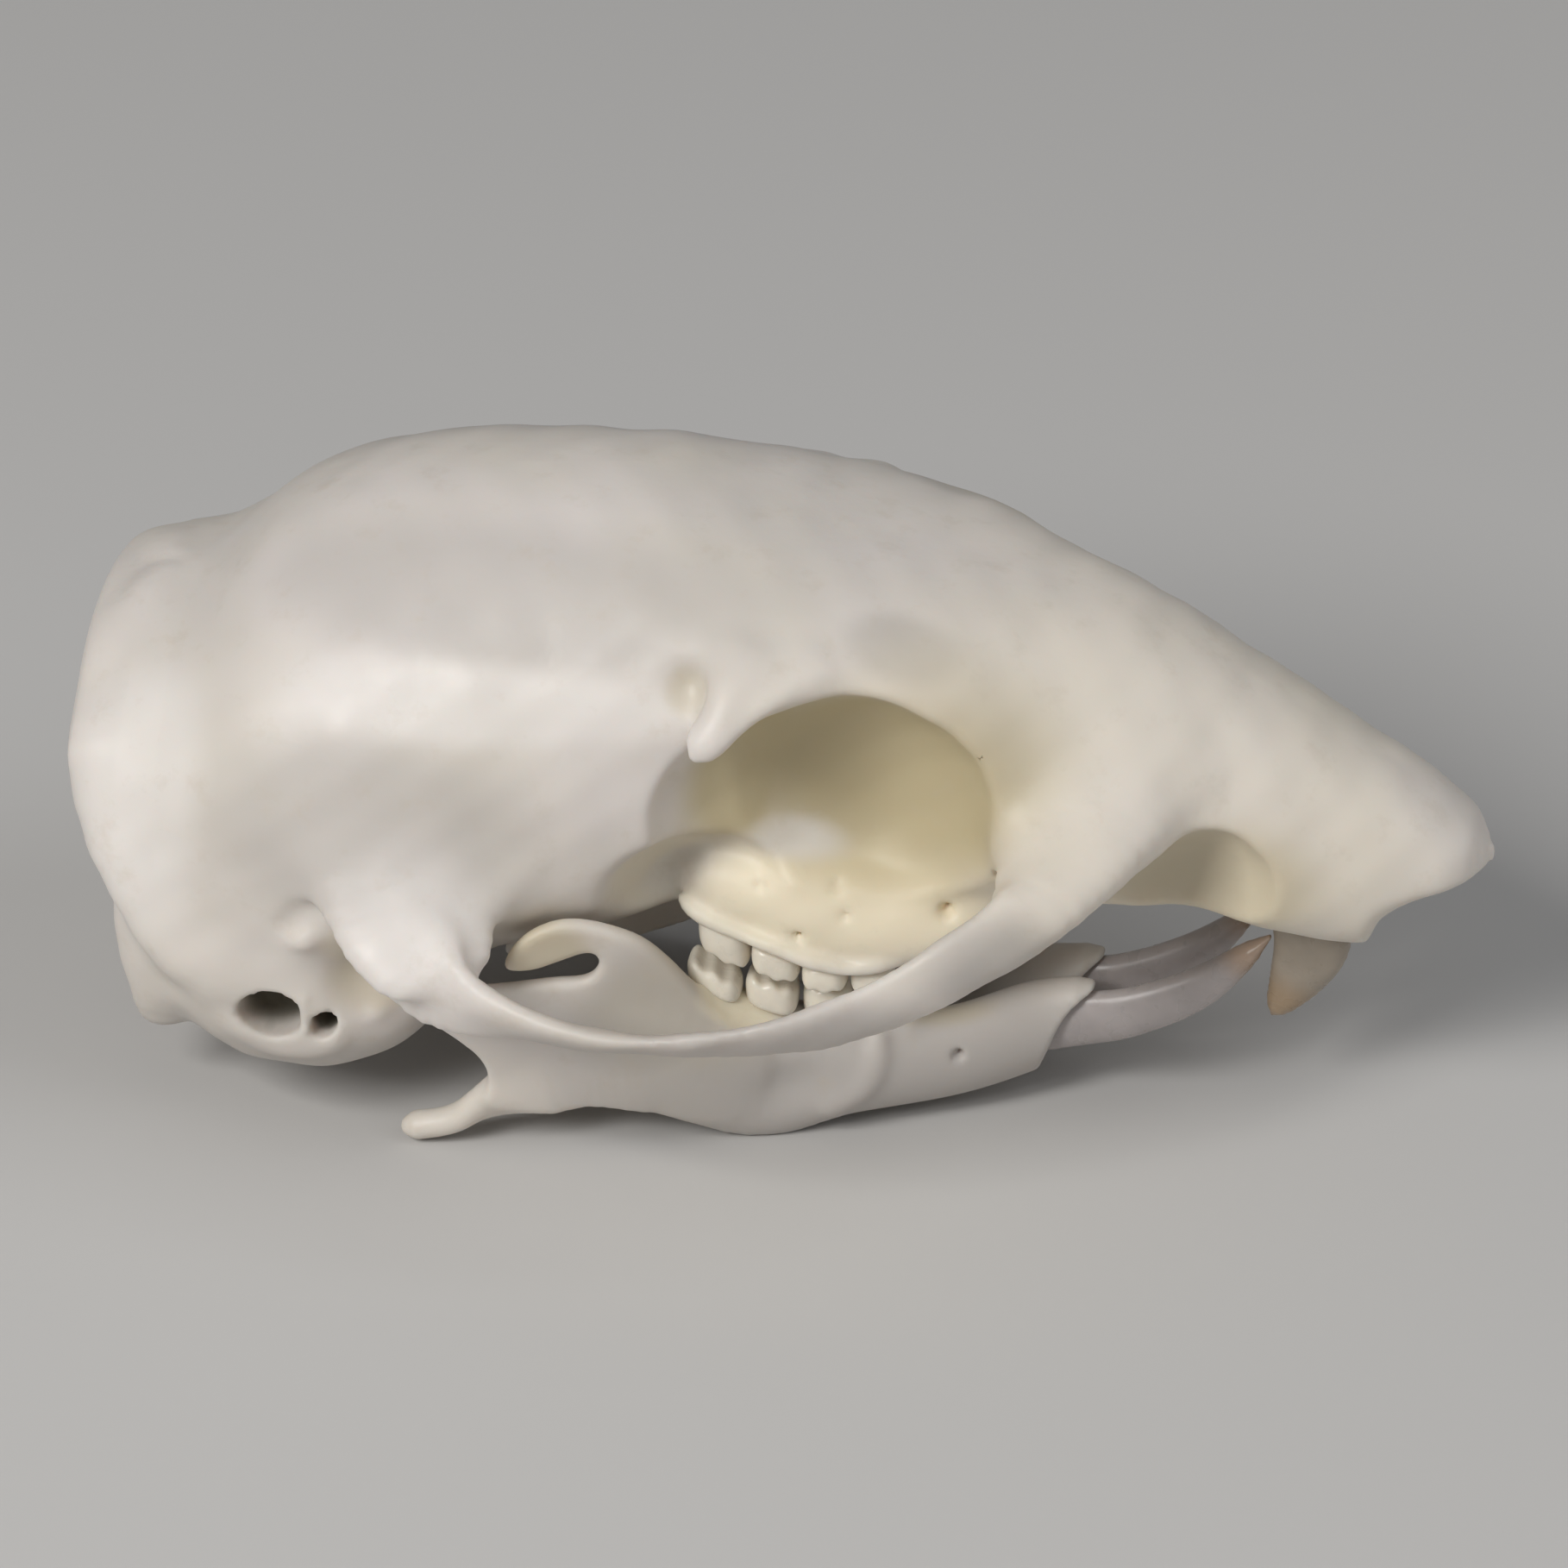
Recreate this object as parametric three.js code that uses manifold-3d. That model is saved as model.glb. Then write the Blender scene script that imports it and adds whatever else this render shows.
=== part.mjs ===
import * as THREE from 'three';
import { mergeVertices } from 'three/addons/utils/BufferGeometryUtils.js';
import Module from 'manifold-3d';

// A cleaned chipmunk skull with both halves of its lower jaw in place, in millimetres.
// X runs from the back of the skull to the nose, Y across it and Z up. The table is at Z = 0.
// Paired parts are described on the right side, where Y is negative, and mirrored for the left.

const SKULL_END = 20;
// A share of a section's size below which it counts as a point, and how near two points are one.
const AXIS_RADIUS = 1e-6;
const SAME_POINT = 1e-4;
const RIGHT = 'right';
const LEFT = 'left';

// Outline of the cranium. Each row is [x, value].
const CROWN_HEIGHT = [
  [-20, 10.4], [-19.7, 12.2], [-19.2, 13.4], [-18, 13.95], [-16, 14.75], [-14, 16.5], [-12, 17.5],
  [-10, 18.1], [-7, 18.5], [-4, 18.55], [-1, 17.95], [2, 17.3], [5, 16.75], [8, 16.02], [10, 15.4],
  [13, 13.75], [16, 11.95], [18, 10.7], [19.3, 9.7], [20, 8.8],
];
const BASE_HEIGHT = [
  [-20, 10.4], [-19.6, 9.6], [-19, 8.2], [-18, 5.6], [-16, 3.8], [-13, 4.2], [-8, 4.8], [-5, 5.4],
  [-2, 6.4], [2, 6.9], [6, 6.7], [9, 7.1], [12, 7.2], [14, 6.6], [16.6, 6.1], [17.1, 7.1], [18, 7.8],
  [19.2, 8.2], [20, 8.4],
];
const HALF_WIDTH = [
  [-20, 0], [-19.7, 2.4], [-19.2, 4.3], [-18, 6.2], [-16, 7.6], [-14, 8.2], [-12, 8.4], [-10, 8.3], [-8, 8],
  [-5, 7.3], [-2, 6.6], [1, 6.3], [4, 6], [6, 5.8], [8, 5.2], [10, 4.7], [12, 4.2], [14, 3.8], [16, 3.2],
  [18, 2.5], [19.3, 1.7], [20, 0],
];
const WIDEST_HEIGHT = [
  [-20, 10.4], [-16, 9.8], [-10, 10], [-5, 10.8], [-1, 13], [2, 13.8], [5, 13.2], [8, 11], [12, 9.6],
  [16, 8.6], [20, 8.6],
];
// How square the upper half of a section is: 2 is an ellipse, more is a flatter roof.
const ROOF_SQUARENESS = [[-20, 2], [-6, 2.1], [1, 2.8], [5, 2.7], [9, 2.3], [20, 2.1]];
const BASE_SQUARENESS = 2.4;

// The hollow braincase, and the hole at its back for the spinal cord.
const BRAINCASE_WALL = 1.3;
const BRAINCASE_FROM = -18.2;
const BRAINCASE_TO = -1.5;
const FORAMEN_MAGNUM = { height: 6.3, radius: 1.9, from: -21, to: -15 };

// The open nose. Each row is [x, y, z, half width, half height, roll].
const NASAL_CAVITY = [
  [21.2, 0, 5.6, 1.2, 0.9, 0],
  [19, 0, 7.5, 1.35, 1.1, 0],
  [17.6, 0, 8.35, 1.5, 1.15, 0],
  [16.5, 0, 9.05, 1.6, 1.25, 0],
  [10.5, 0, 10.8, 2, 1.9, 0],
];

// Hollows cut from each side of the cranium.
const EYE_SOCKET = { at: [2.9, -8.6, 11], radii: [4.9, 5.4, 4.9] };
const SOCKET_REAR = { at: [0.5, -8.2, 10.5], radii: [3.6, 3.6, 4.6] };
const TEMPORAL_HOLLOW = { at: [-1, -8, 7.6], radii: [3.4, 4.6, 3.2] };
const CHEEK_HOLLOW = { at: [12, -5.2, 8.9], radii: [2.95, 2.65, 2.35] };
const EAR_OPENING = { at: [-13.2, -8.2, 4.5], radii: [0.95, 2.2, 0.75] };

// Solid forms added to each side of the cranium.
const EAR_CAPSULE = { at: [-12.8, -4.9, 5.15], radii: [4.3, 3.1, 3.5] };
const OCCIPITAL_CONDYLE = { at: [-17.7, -1.9, 4.6], radii: [1, 0.8, 1.5] };

// Limbs of the cranium. Each row is [x, y, z, wide, thin, roll]: the half sizes of its oval section,
// and how many degrees the wide direction is turned up from level.
const FRONT_CHEEK_ROOT = [
  [9.4, -2.4, 11.6, 2.5, 1.7, 0],
  [9.2, -5, 11, 2, 1.2, 0],
  [8, -7.8, 9.8, 1.2, 0.85, 0],
];
const REAR_CHEEK_ROOT = [
  [-9.2, -6.2, 9.8, 2.8, 1.3, 0],
  [-9, -8.4, 8.7, 2.4, 0.9, 0],
  [-7.8, -9.9, 7.4, 1.6, 0.6, 0],
];
const CHEEKBONE = [
  [8.7, -7, 10.2, 1.3, 0.8, 80],
  [7.1, -8.6, 9.3, 1.1, 0.5, 75],
  [4.4, -10, 7.95, 0.95, 0.42, 70],
  [1.2, -11, 7.1, 0.95, 0.32, 50],
  [-2.6, -11.3, 6.8, 0.9, 0.3, 33],
  [-5.6, -10.8, 6.9, 0.95, 0.4, 50],
  [-8, -9.7, 7.2, 1.5, 0.5, 80],
  [-10, -8.3, 8.6, 1.5, 0.6, 85],
];
const POSTORBITAL_PROCESS = [
  [1.6, -5.2, 15.7, 0.85, 0.55, 0],
  [0.3, -6.5, 15.1, 0.6, 0.38, 0],
  [-1.2, -7.5, 13.8, 0.3, 0.25, 0],
];
const TOOTH_RIDGE = [
  [-1.9, -3.7, 7.95, 0.9, 0.95, 0],
  [0.6, -3.95, 7.5, 1.05, 1.25, 0],
  [2.9, -4, 7.1, 1.05, 1.35, 0],
  [4.8, -3.9, 7.2, 1.05, 1.15, 0],
  [6.2, -3.6, 7.6, 0.9, 0.9, 0],
];
const PTERYGOID_PLATE = [
  [-1.2, -1.9, 7.2, 1.2, 0.4, 90],
  [-3.6, -2, 6, 1.2, 0.35, 90],
  [-5.4, -2.2, 5.2, 1, 0.35, 90],
  [-7.4, -2.7, 4.2, 0.7, 0.35, 90],
];
const PAROCCIPITAL_PROCESS = [
  [-16.9, -5.2, 7.6, 1, 0.9, 0],
  [-17.1, -5, 5, 0.95, 0.85, 0],
  [-17, -4.9, 2.5, 0.65, 0.6, 0],
];

// The lower jaw, one half. Rows as above.
const JAW_BODY = [
  [-4.6, -5.9, 2.6, 1.4, 0.5, 90],
  [-2.4, -5, 3, 1.9, 0.75, 85],
  [0, -4.05, 1.9, 2.05, 1, 85],
  [2.2, -3.45, 1.9, 1.5, 1, 88],
  [5.2, -2.15, 1.95, 1.35, 0.95, 90],
  [7.6, -0.98, 2.45, 1.3, 0.88, 90],
  [9.8, -0.88, 3.2, 0.9, 0.7, 90],
];
const JAW_ANGLE = [
  [-5.2, -6, 2.2, 1.1, 0.5, 80],
  [-7.2, -6.2, 1.5, 0.7, 0.45, 60],
  [-8.4, -6.35, 0.75, 0.45, 0.4, 0],
  [-9.7, -6.4, 0.42, 0.45, 0.42, 0],
];
// The ridge that holds the lower cheek teeth.
const JAW_TOOTH_RIDGE = [
  [4.3, -2.65, 2.9, 0.5, 0.45, 0],
  [3.1, -2.95, 3.1, 0.6, 0.45, 0],
  [1.8, -3.4, 3.2, 0.7, 0.45, 0],
  [0.3, -3.85, 3.5, 0.7, 0.45, 0],
  [-1.2, -4.3, 4.1, 0.65, 0.45, 0],
  [-2.2, -4.6, 4.6, 0.5, 0.45, 0],
];
// Side outline of the thin upright plate, as [x, z], from its front foot over the coronoid tip, along the
// notch to the neck of the jaw joint, and round the back notch to its lower edge.
const JAW_PLATE = [
  [0.4, 2.2], [-0.8, 3.9], [-1.8, 5.6], [-2.3, 6.4], [-2.9, 7.15], [-3.6, 7.6], [-4.4, 7.95], [-5.1, 8.05],
  [-5.8, 7.8], [-6.3, 7.35], [-6.6, 6.8], [-6.6, 6.45], [-5.9, 6.35], [-5.1, 6.65], [-4.3, 6.95],
  [-4.05, 6.55], [-4.25, 6.1], [-4.6, 5.9], [-5.4, 5.95], [-7.2, 5.8], [-9, 6.1], [-9.1, 5.2], [-8, 4.1],
  [-7.3, 3.2], [-7.2, 2.3], [-7.3, 1.6], [-5.4, 1.3], [-3.4, 1.3], [-1, 1],
];
const JAW_PLATE_THICKNESS = 0.7;
// The plate leans: its Y at X = 0, Z = 0, and how that changes with X and with Z.
const JAW_PLATE_PLACE = { y: -3.9, perX: 0.33, perZ: -0.2 };
const JAW_CONDYLE = { at: [-8.8, -8, 5.9], radii: [1.1, 0.6, 0.55] };

// Side outline, as [x, z], of what is taken off the front of the jaw bone, so that its rim slopes back
// under the front tooth.
const JAW_FRONT_CUT = [
  [9.5, 3.95], [8.9, 3.65], [8.35, 3.2], [8, 2.6], [7.75, 1.9], [7.4, 1], [7.4, -1], [12, -1], [12, 3.95],
];
const JAW_FRONT_CUT_WIDTH = 8;

// Front teeth, one of each pair. Rows as above, from the root to the cutting edge.
const UPPER_INCISOR = [
  [13, -0.75, 9, 0.9, 0.52, 90],
  [14.6, -0.78, 7.4, 1.1, 0.55, 90],
  [15.05, -0.78, 5.9, 1.1, 0.55, 90],
  [14.68, -0.76, 4.6, 0.82, 0.52, 90],
  [13.97, -0.74, 3.25, 0.22, 0.45, 90],
];
const LOWER_INCISOR = [
  [6.2, -1.15, 2.1, 0.85, 0.42, 90],
  [8.2, -0.98, 2.55, 0.85, 0.45, 90],
  [10, -0.9, 2.95, 0.75, 0.45, 90],
  [12, -0.86, 4, 0.6, 0.43, 90],
  [13.85, -0.84, 5.75, 0.2, 0.38, 90],
];
const LEFT_LOWER_INCISOR_SET_BACK = 0.5;

// Cheek teeth. Each row is [name, x, y, half length, half width, gum height, chewing height, slope].
const UPPER_CHEEK_TEETH = [
  ['premolar', 3.15, -3.95, 0.56, 0.8, 5.75, 4.95, 0],
  ['first_molar', 1.86, -4.05, 0.62, 0.9, 5.8, 5, 0],
  ['second_molar', 0.48, -4.05, 0.66, 0.92, 6.15, 5.3, -0.25],
  ['third_molar', -1, -3.95, 0.7, 0.85, 6.75, 5.65, -0.5],
];
const LOWER_CHEEK_TEETH = [
  ['premolar', 3.15, -2.95, 0.56, 0.6, 3.65, 4.65, 0],
  ['first_molar', 1.8, -3.4, 0.66, 0.72, 3.75, 4.75, 0],
  ['second_molar', 0.3, -3.85, 0.7, 0.76, 4.05, 5, -0.25],
  ['third_molar', -1.25, -4.3, 0.72, 0.75, 4.7, 5.45, -0.5],
];
const ROOT_LENGTH = 1;
const ROOT_IN_CROWN = 0.2;
const ROOT_SHARE = 0.55;
const TOOTH_GAP = 0.15;
const CUSP_HEIGHT = 0.3;
const CUSP_SHARE_OF_CROWN = 0.45;

// Facets round a form and along it.
const CRANIUM_FACETS = [20, 28];
const BRAINCASE_FACETS = [12, 8];
const LARGE_BALL_FACETS = [14, 10];
const SMALL_BALL_FACETS = [10, 6];
const LARGE_LIMB_FACETS = [8, 10];
const SMALL_LIMB_FACETS = [8, 6];
const THIN_LIMB_FACETS = [6, 6];
const CHEEKBONE_FACETS = [8, 18];
const INCISOR_FACETS = [8, 9];
const CROWN_FACETS = [8, 5];
const FORAMEN_FACETS = 12;

const BONE = { color: 0xd9d2c5, roughness: 0.55, metalness: 0 };
const ENAMEL = { color: 0xe6dfd0, roughness: 0.35, metalness: 0 };

const wasm = await Module();
wasm.setup();

// A smooth line through rows of [x, value].
function smoothLine(rows) {
  const slopes = rows.map((row, i) => {
    const before = rows[Math.max(i - 1, 0)];
    const after = rows[Math.min(i + 1, rows.length - 1)];
    return (after[1] - before[1]) / (after[0] - before[0]);
  });
  return (x) => {
    const next = rows.findIndex((row) => row[0] > x);
    if (next === 0) return rows[0][1];
    if (next < 0) return rows.at(-1)[1];
    const [x0, v0] = rows[next - 1];
    const [x1, v1] = rows[next];
    const span = x1 - x0;
    const t = (x - x0) / span;
    const bend0 = slopes[next - 1] * span;
    const bend1 = slopes[next] * span;
    const rise = v1 - v0;
    return v0 + t * (bend0 + t * (3 * rise - 2 * bend0 - bend1 + t * (bend0 + bend1 - 2 * rise)));
  };
}

// A sphere whose poles are on X, with each point moved to place(share along, direction round, radius).
function movedSphere(facets, place) {
  const geometry = new THREE.SphereGeometry(1, ...facets);
  geometry.rotateZ(-Math.PI / 2);
  const position = geometry.attributes.position;
  for (let i = 0; i < position.count; i += 1) {
    const y = position.getY(i);
    const z = position.getZ(i);
    const moved = place((position.getX(i) + 1) / 2, Math.atan2(y, z), Math.hypot(y, z));
    position.setXYZ(i, moved.x, moved.y, moved.z);
  }
  return geometry;
}

function power(value, exponent) {
  return Math.sign(value) * Math.abs(value) ** exponent;
}

const crown = smoothLine(CROWN_HEIGHT);
const base = smoothLine(BASE_HEIGHT);
const halfWidth = smoothLine(HALF_WIDTH);
const widest = smoothLine(WIDEST_HEIGHT);
const squareness = smoothLine(ROOF_SQUARENESS);

// The cranium's body between two places on X, inside its outer face by a wall thickness.
function craniumBody(from, to, wall, facets) {
  return movedSphere(facets, (share, turn, radius) => {
    const x = from + (to - from) * share;
    const ends = wall > 0 ? radius : 1;
    const middle = widest(x);
    const upper = Math.cos(turn) > 0;
    const exponent = 2 / (upper ? squareness(x) : BASE_SQUARENESS);
    const height = Math.max((upper ? crown(x) - middle : middle - base(x)) - wall, 0);
    const width = Math.max(halfWidth(x) - wall, 0);
    const onAxis = radius < AXIS_RADIUS ? 0 : 1;
    return new THREE.Vector3(
      x,
      width * power(Math.sin(turn), exponent) * ends * onAxis,
      middle + height * power(Math.cos(turn), exponent) * ends * onAxis,
    );
  });
}

// A curved limb of oval section along rows of [x, y, z, wide, thin, roll], with rounded ends. Grow makes
// it thicker all round, for the pocket that holds it.
function limb(rows, facets, grow = 0) {
  const END_ROUNDING = 1.8;
  const STEP = 0.02;
  const last = rows.length - 1;
  const [x, y, z, wide, thin, roll] = [0, 1, 2, 3, 4, 5].map((column) => (
    smoothLine(rows.map((row, i) => [i, row[column]]))
  ));
  const point = (s) => new THREE.Vector3(x(s), y(s), z(s));
  const across = new THREE.Vector3(0, 0, 1).cross(point(last).sub(point(0))).normalize();
  return movedSphere(facets, (share, turn, radius) => {
    const s = share * last;
    const forward = point(Math.min(s + STEP, last)).sub(point(Math.max(s - STEP, 0))).normalize();
    const level = across.clone().addScaledVector(forward, -across.dot(forward)).normalize();
    const raised = new THREE.Vector3().crossVectors(forward, level);
    const angle = THREE.MathUtils.degToRad(roll(s));
    const fullness = Math.min(1, radius * END_ROUNDING);
    const a = (wide(s) + grow) * fullness * Math.sin(turn);
    const b = (thin(s) + grow) * fullness * Math.cos(turn);
    const alongLevel = a * Math.cos(angle) - b * Math.sin(angle);
    const alongRaised = a * Math.sin(angle) + b * Math.cos(angle);
    const place = point(s);
    place.addScaledVector(forward, grow * (share * 2 - 1) * (1 - fullness));
    return place.addScaledVector(level, alongLevel).addScaledVector(raised, alongRaised);
  });
}

function ball({ at, radii }, facets) {
  const geometry = new THREE.SphereGeometry(1, ...facets);
  geometry.scale(...radii);
  geometry.translate(...at);
  return geometry;
}

// The same surface with only its points, each shared by the triangles that meet there.
function shared(geometry) {
  const bare = geometry.clone();
  bare.deleteAttribute('normal');
  bare.deleteAttribute('uv');
  return mergeVertices(bare, SAME_POINT);
}

function mirrored(geometry) {
  const other = shared(geometry);
  other.scale(1, -1, 1);
  const index = other.index.array;
  for (let i = 0; i < index.length; i += 3) {
    [index[i], index[i + 1]] = [index[i + 1], index[i]];
  }
  return other;
}

function solid(geometry) {
  const merged = shared(geometry);
  return new wasm.Manifold(new wasm.Mesh({
    numProp: 3,
    vertProperties: new Float32Array(merged.attributes.position.array),
    triVerts: new Uint32Array(merged.index.array),
  }));
}

function joined(solids) {
  return solids.reduce((whole, piece) => whole.add(piece));
}

function cut(whole, solids) {
  return solids.reduce((rest, piece) => rest.subtract(piece), whole);
}

function pair(geometry) {
  return [solid(geometry), solid(mirrored(geometry))];
}

// The crown of a cheek tooth: a rounded block with a cusp at each corner. Way is 1 where the chewing face
// looks up and -1 where it looks down. The rows of teeth slope, so a crown leans with its part of the row.
function toothCrown([, x, y, halfLength, halfAcross, gum, chewing, slope], way) {
  const CROWN_SQUARENESS = 0.7;
  const EDGE_ROUNDING = 1.25;
  const SIDE_HEIGHT = 1.15;
  const cuspHeight = Math.min(CUSP_HEIGHT, CUSP_SHARE_OF_CROWN * Math.abs(chewing - gum));
  return movedSphere(CROWN_FACETS, (share, turn, radius) => {
    const side = Math.min(1, radius * EDGE_ROUNDING);
    const across = power(Math.sin(turn), CROWN_SQUARENESS) * side;
    const along = power(Math.cos(turn), CROWN_SQUARENESS) * side;
    const cusp = cuspHeight * Math.abs(Math.sin(2 * turn)) * side ** 3;
    const valley = share > 0.5 ? cusp - cuspHeight : 0;
    const height = THREE.MathUtils.lerp(gum, chewing, Math.min(1, share * SIDE_HEIGHT)) + way * valley;
    const place = new THREE.Vector3(x + halfLength * along, y - way * halfAcross * across, height);
    place.z += slope * halfLength * along;
    return place;
  });
}

// The root of a cheek tooth, from inside the crown into the bone. Grow makes the pocket for it.
function toothRoot([, x, y, halfLength, halfAcross, gum], way, grow = 0) {
  const height = ROOT_LENGTH + ROOT_IN_CROWN;
  const geometry = new THREE.BoxGeometry(
    2 * (halfLength * ROOT_SHARE + grow),
    2 * (halfAcross * ROOT_SHARE + grow),
    height + 2 * grow,
  );
  geometry.translate(x, y, gum + way * (ROOT_IN_CROWN - height / 2));
  return geometry;
}

// A sheet of even thickness about Y = 0, from its outline in X and Z.
function sheet(outline, thickness) {
  const shape = new THREE.Shape(outline.map(([x, z]) => new THREE.Vector2(x, z)));
  const geometry = new THREE.ExtrudeGeometry(shape, { depth: thickness, bevelEnabled: false });
  geometry.rotateX(Math.PI / 2);
  geometry.translate(0, thickness / 2, 0);
  return geometry;
}

// The thin plate at the back of the jaw, leaned to its place.
function jawPlate() {
  const geometry = sheet(JAW_PLATE, JAW_PLATE_THICKNESS);
  const position = geometry.attributes.position;
  for (let i = 0; i < position.count; i += 1) {
    const { y, perX, perZ } = JAW_PLATE_PLACE;
    const shift = y + perX * position.getX(i) + perZ * position.getZ(i);
    position.setY(i, position.getY(i) + shift);
  }
  return geometry;
}

// The left lower incisor sits a little deeper in its jaw than the right one.
function lowerIncisor(side, grow = 0) {
  const geometry = limb(LOWER_INCISOR, INCISOR_FACETS, grow);
  if (side === LEFT) geometry.translate(-LEFT_LOWER_INCISOR_SET_BACK, 0, 0);
  return geometry;
}

// Pieces for one side are made on the right, and mirrored where the side is the left.
function onSide(geometry, side) {
  return solid(side === LEFT ? mirrored(geometry) : geometry);
}

function foramenMagnum() {
  const { height, radius, from, to } = FORAMEN_MAGNUM;
  const geometry = new THREE.CylinderGeometry(radius, radius, to - from, FORAMEN_FACETS);
  geometry.rotateZ(-Math.PI / 2);
  geometry.translate((from + to) / 2, 0, height);
  return geometry;
}

function belowTable() {
  const TABLE_SIZE = 60;
  const TABLE_DEPTH = 4;
  const geometry = new THREE.BoxGeometry(TABLE_SIZE, TABLE_SIZE, TABLE_DEPTH);
  geometry.translate(0, 0, -TABLE_DEPTH / 2);
  return geometry;
}

function cranium() {
  const body = solid(craniumBody(-SKULL_END, SKULL_END, 0, CRANIUM_FACETS));
  const opened = cut(body, [
    ...pair(ball(EYE_SOCKET, LARGE_BALL_FACETS)),
    ...pair(ball(SOCKET_REAR, LARGE_BALL_FACETS)),
    ...pair(ball(TEMPORAL_HOLLOW, LARGE_BALL_FACETS)),
    ...pair(ball(CHEEK_HOLLOW, SMALL_BALL_FACETS)),
  ]);
  const whole = joined([
    opened,
    ...pair(limb(FRONT_CHEEK_ROOT, SMALL_LIMB_FACETS)),
    ...pair(limb(REAR_CHEEK_ROOT, SMALL_LIMB_FACETS)),
    ...pair(limb(CHEEKBONE, CHEEKBONE_FACETS)),
    ...pair(limb(POSTORBITAL_PROCESS, THIN_LIMB_FACETS)),
    ...pair(limb(TOOTH_RIDGE, SMALL_LIMB_FACETS)),
    ...pair(limb(PTERYGOID_PLATE, THIN_LIMB_FACETS)),
    ...pair(limb(PAROCCIPITAL_PROCESS, THIN_LIMB_FACETS)),
    ...pair(ball(EAR_CAPSULE, LARGE_BALL_FACETS)),
    ...pair(ball(OCCIPITAL_CONDYLE, SMALL_BALL_FACETS)),
  ]);
  return cut(whole, [
    solid(craniumBody(BRAINCASE_FROM, BRAINCASE_TO, BRAINCASE_WALL, BRAINCASE_FACETS)),
    solid(foramenMagnum()),
    solid(limb(NASAL_CAVITY, SMALL_LIMB_FACETS)),
    ...pair(ball(EAR_OPENING, SMALL_BALL_FACETS)),
    ...pair(limb(UPPER_INCISOR, INCISOR_FACETS, TOOTH_GAP)),
    ...UPPER_CHEEK_TEETH.flatMap((tooth) => pair(toothRoot(tooth, -1, TOOTH_GAP))),
  ]);
}

function dentary(side) {
  const whole = joined([
    onSide(limb(JAW_BODY, LARGE_LIMB_FACETS), side),
    onSide(limb(JAW_ANGLE, SMALL_LIMB_FACETS), side),
    onSide(limb(JAW_TOOTH_RIDGE, THIN_LIMB_FACETS), side),
    onSide(jawPlate(), side),
    onSide(ball(JAW_CONDYLE, SMALL_BALL_FACETS), side),
  ]);
  return cut(whole, [
    solid(belowTable()),
    solid(sheet(JAW_FRONT_CUT, JAW_FRONT_CUT_WIDTH)),
    onSide(lowerIncisor(side, TOOTH_GAP), side),
    ...LOWER_CHEEK_TEETH.map((tooth) => onSide(toothRoot(tooth, 1, TOOTH_GAP), side)),
  ]);
}

const skull = new THREE.Group();

function add(name, whole, finish) {
  const { vertProperties, triVerts } = whole.getMesh();
  const geometry = new THREE.BufferGeometry();
  geometry.setAttribute('position', new THREE.BufferAttribute(new Float32Array(vertProperties), 3));
  geometry.setIndex(new THREE.BufferAttribute(new Uint32Array(triVerts), 1));
  const mesh = new THREE.Mesh(geometry, new THREE.MeshStandardMaterial(finish));
  mesh.name = name;
  skull.add(mesh);
}

add('cranium', cranium(), BONE);
for (const side of [RIGHT, LEFT]) {
  add(`${side}_dentary`, dentary(side), BONE);
  add(`${side}_upper_incisor`, onSide(limb(UPPER_INCISOR, INCISOR_FACETS), side), ENAMEL);
  add(`${side}_lower_incisor`, onSide(lowerIncisor(side), side), ENAMEL);
  for (const tooth of UPPER_CHEEK_TEETH) {
    const whole = onSide(toothCrown(tooth, -1), side).add(onSide(toothRoot(tooth, -1), side));
    add(`${side}_upper_${tooth[0]}`, whole, ENAMEL);
  }
  for (const tooth of LOWER_CHEEK_TEETH) {
    const whole = onSide(toothCrown(tooth, 1), side).add(onSide(toothRoot(tooth, 1), side));
    add(`${side}_lower_${tooth[0]}`, whole, ENAMEL);
  }
}

export default skull;
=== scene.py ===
import math

import bpy
import mathutils
import numpy as np
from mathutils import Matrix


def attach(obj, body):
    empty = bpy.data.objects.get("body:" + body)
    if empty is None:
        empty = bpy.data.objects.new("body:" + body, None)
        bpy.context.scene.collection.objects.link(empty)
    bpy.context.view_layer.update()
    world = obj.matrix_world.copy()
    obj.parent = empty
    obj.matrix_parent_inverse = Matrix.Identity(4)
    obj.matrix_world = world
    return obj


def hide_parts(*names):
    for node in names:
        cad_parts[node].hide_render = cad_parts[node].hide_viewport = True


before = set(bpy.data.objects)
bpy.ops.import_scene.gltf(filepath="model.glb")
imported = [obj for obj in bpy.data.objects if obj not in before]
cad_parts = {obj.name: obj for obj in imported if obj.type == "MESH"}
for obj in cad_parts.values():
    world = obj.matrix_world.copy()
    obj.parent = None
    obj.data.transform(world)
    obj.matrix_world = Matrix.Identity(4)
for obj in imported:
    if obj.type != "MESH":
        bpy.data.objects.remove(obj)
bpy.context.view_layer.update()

# A cleaned chipmunk skull. Shapes are worked out in millimetres as distance fields on a grid, where a
# field is below 0 inside the bone, and each field's skin becomes one mesh. X runs to the nose, Z up.
# Paired forms are described on the animal's right, where Y is negative, and mirrored for the left.

MM = 0.001
FAR = 9.0
CRANIUM_STEP = 0.15
JAW_STEP = 0.1
TOOTH_STEP = 0.055
CRANIUM_TRIANGLES = 190000
JAW_TRIANGLES = 90000

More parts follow.
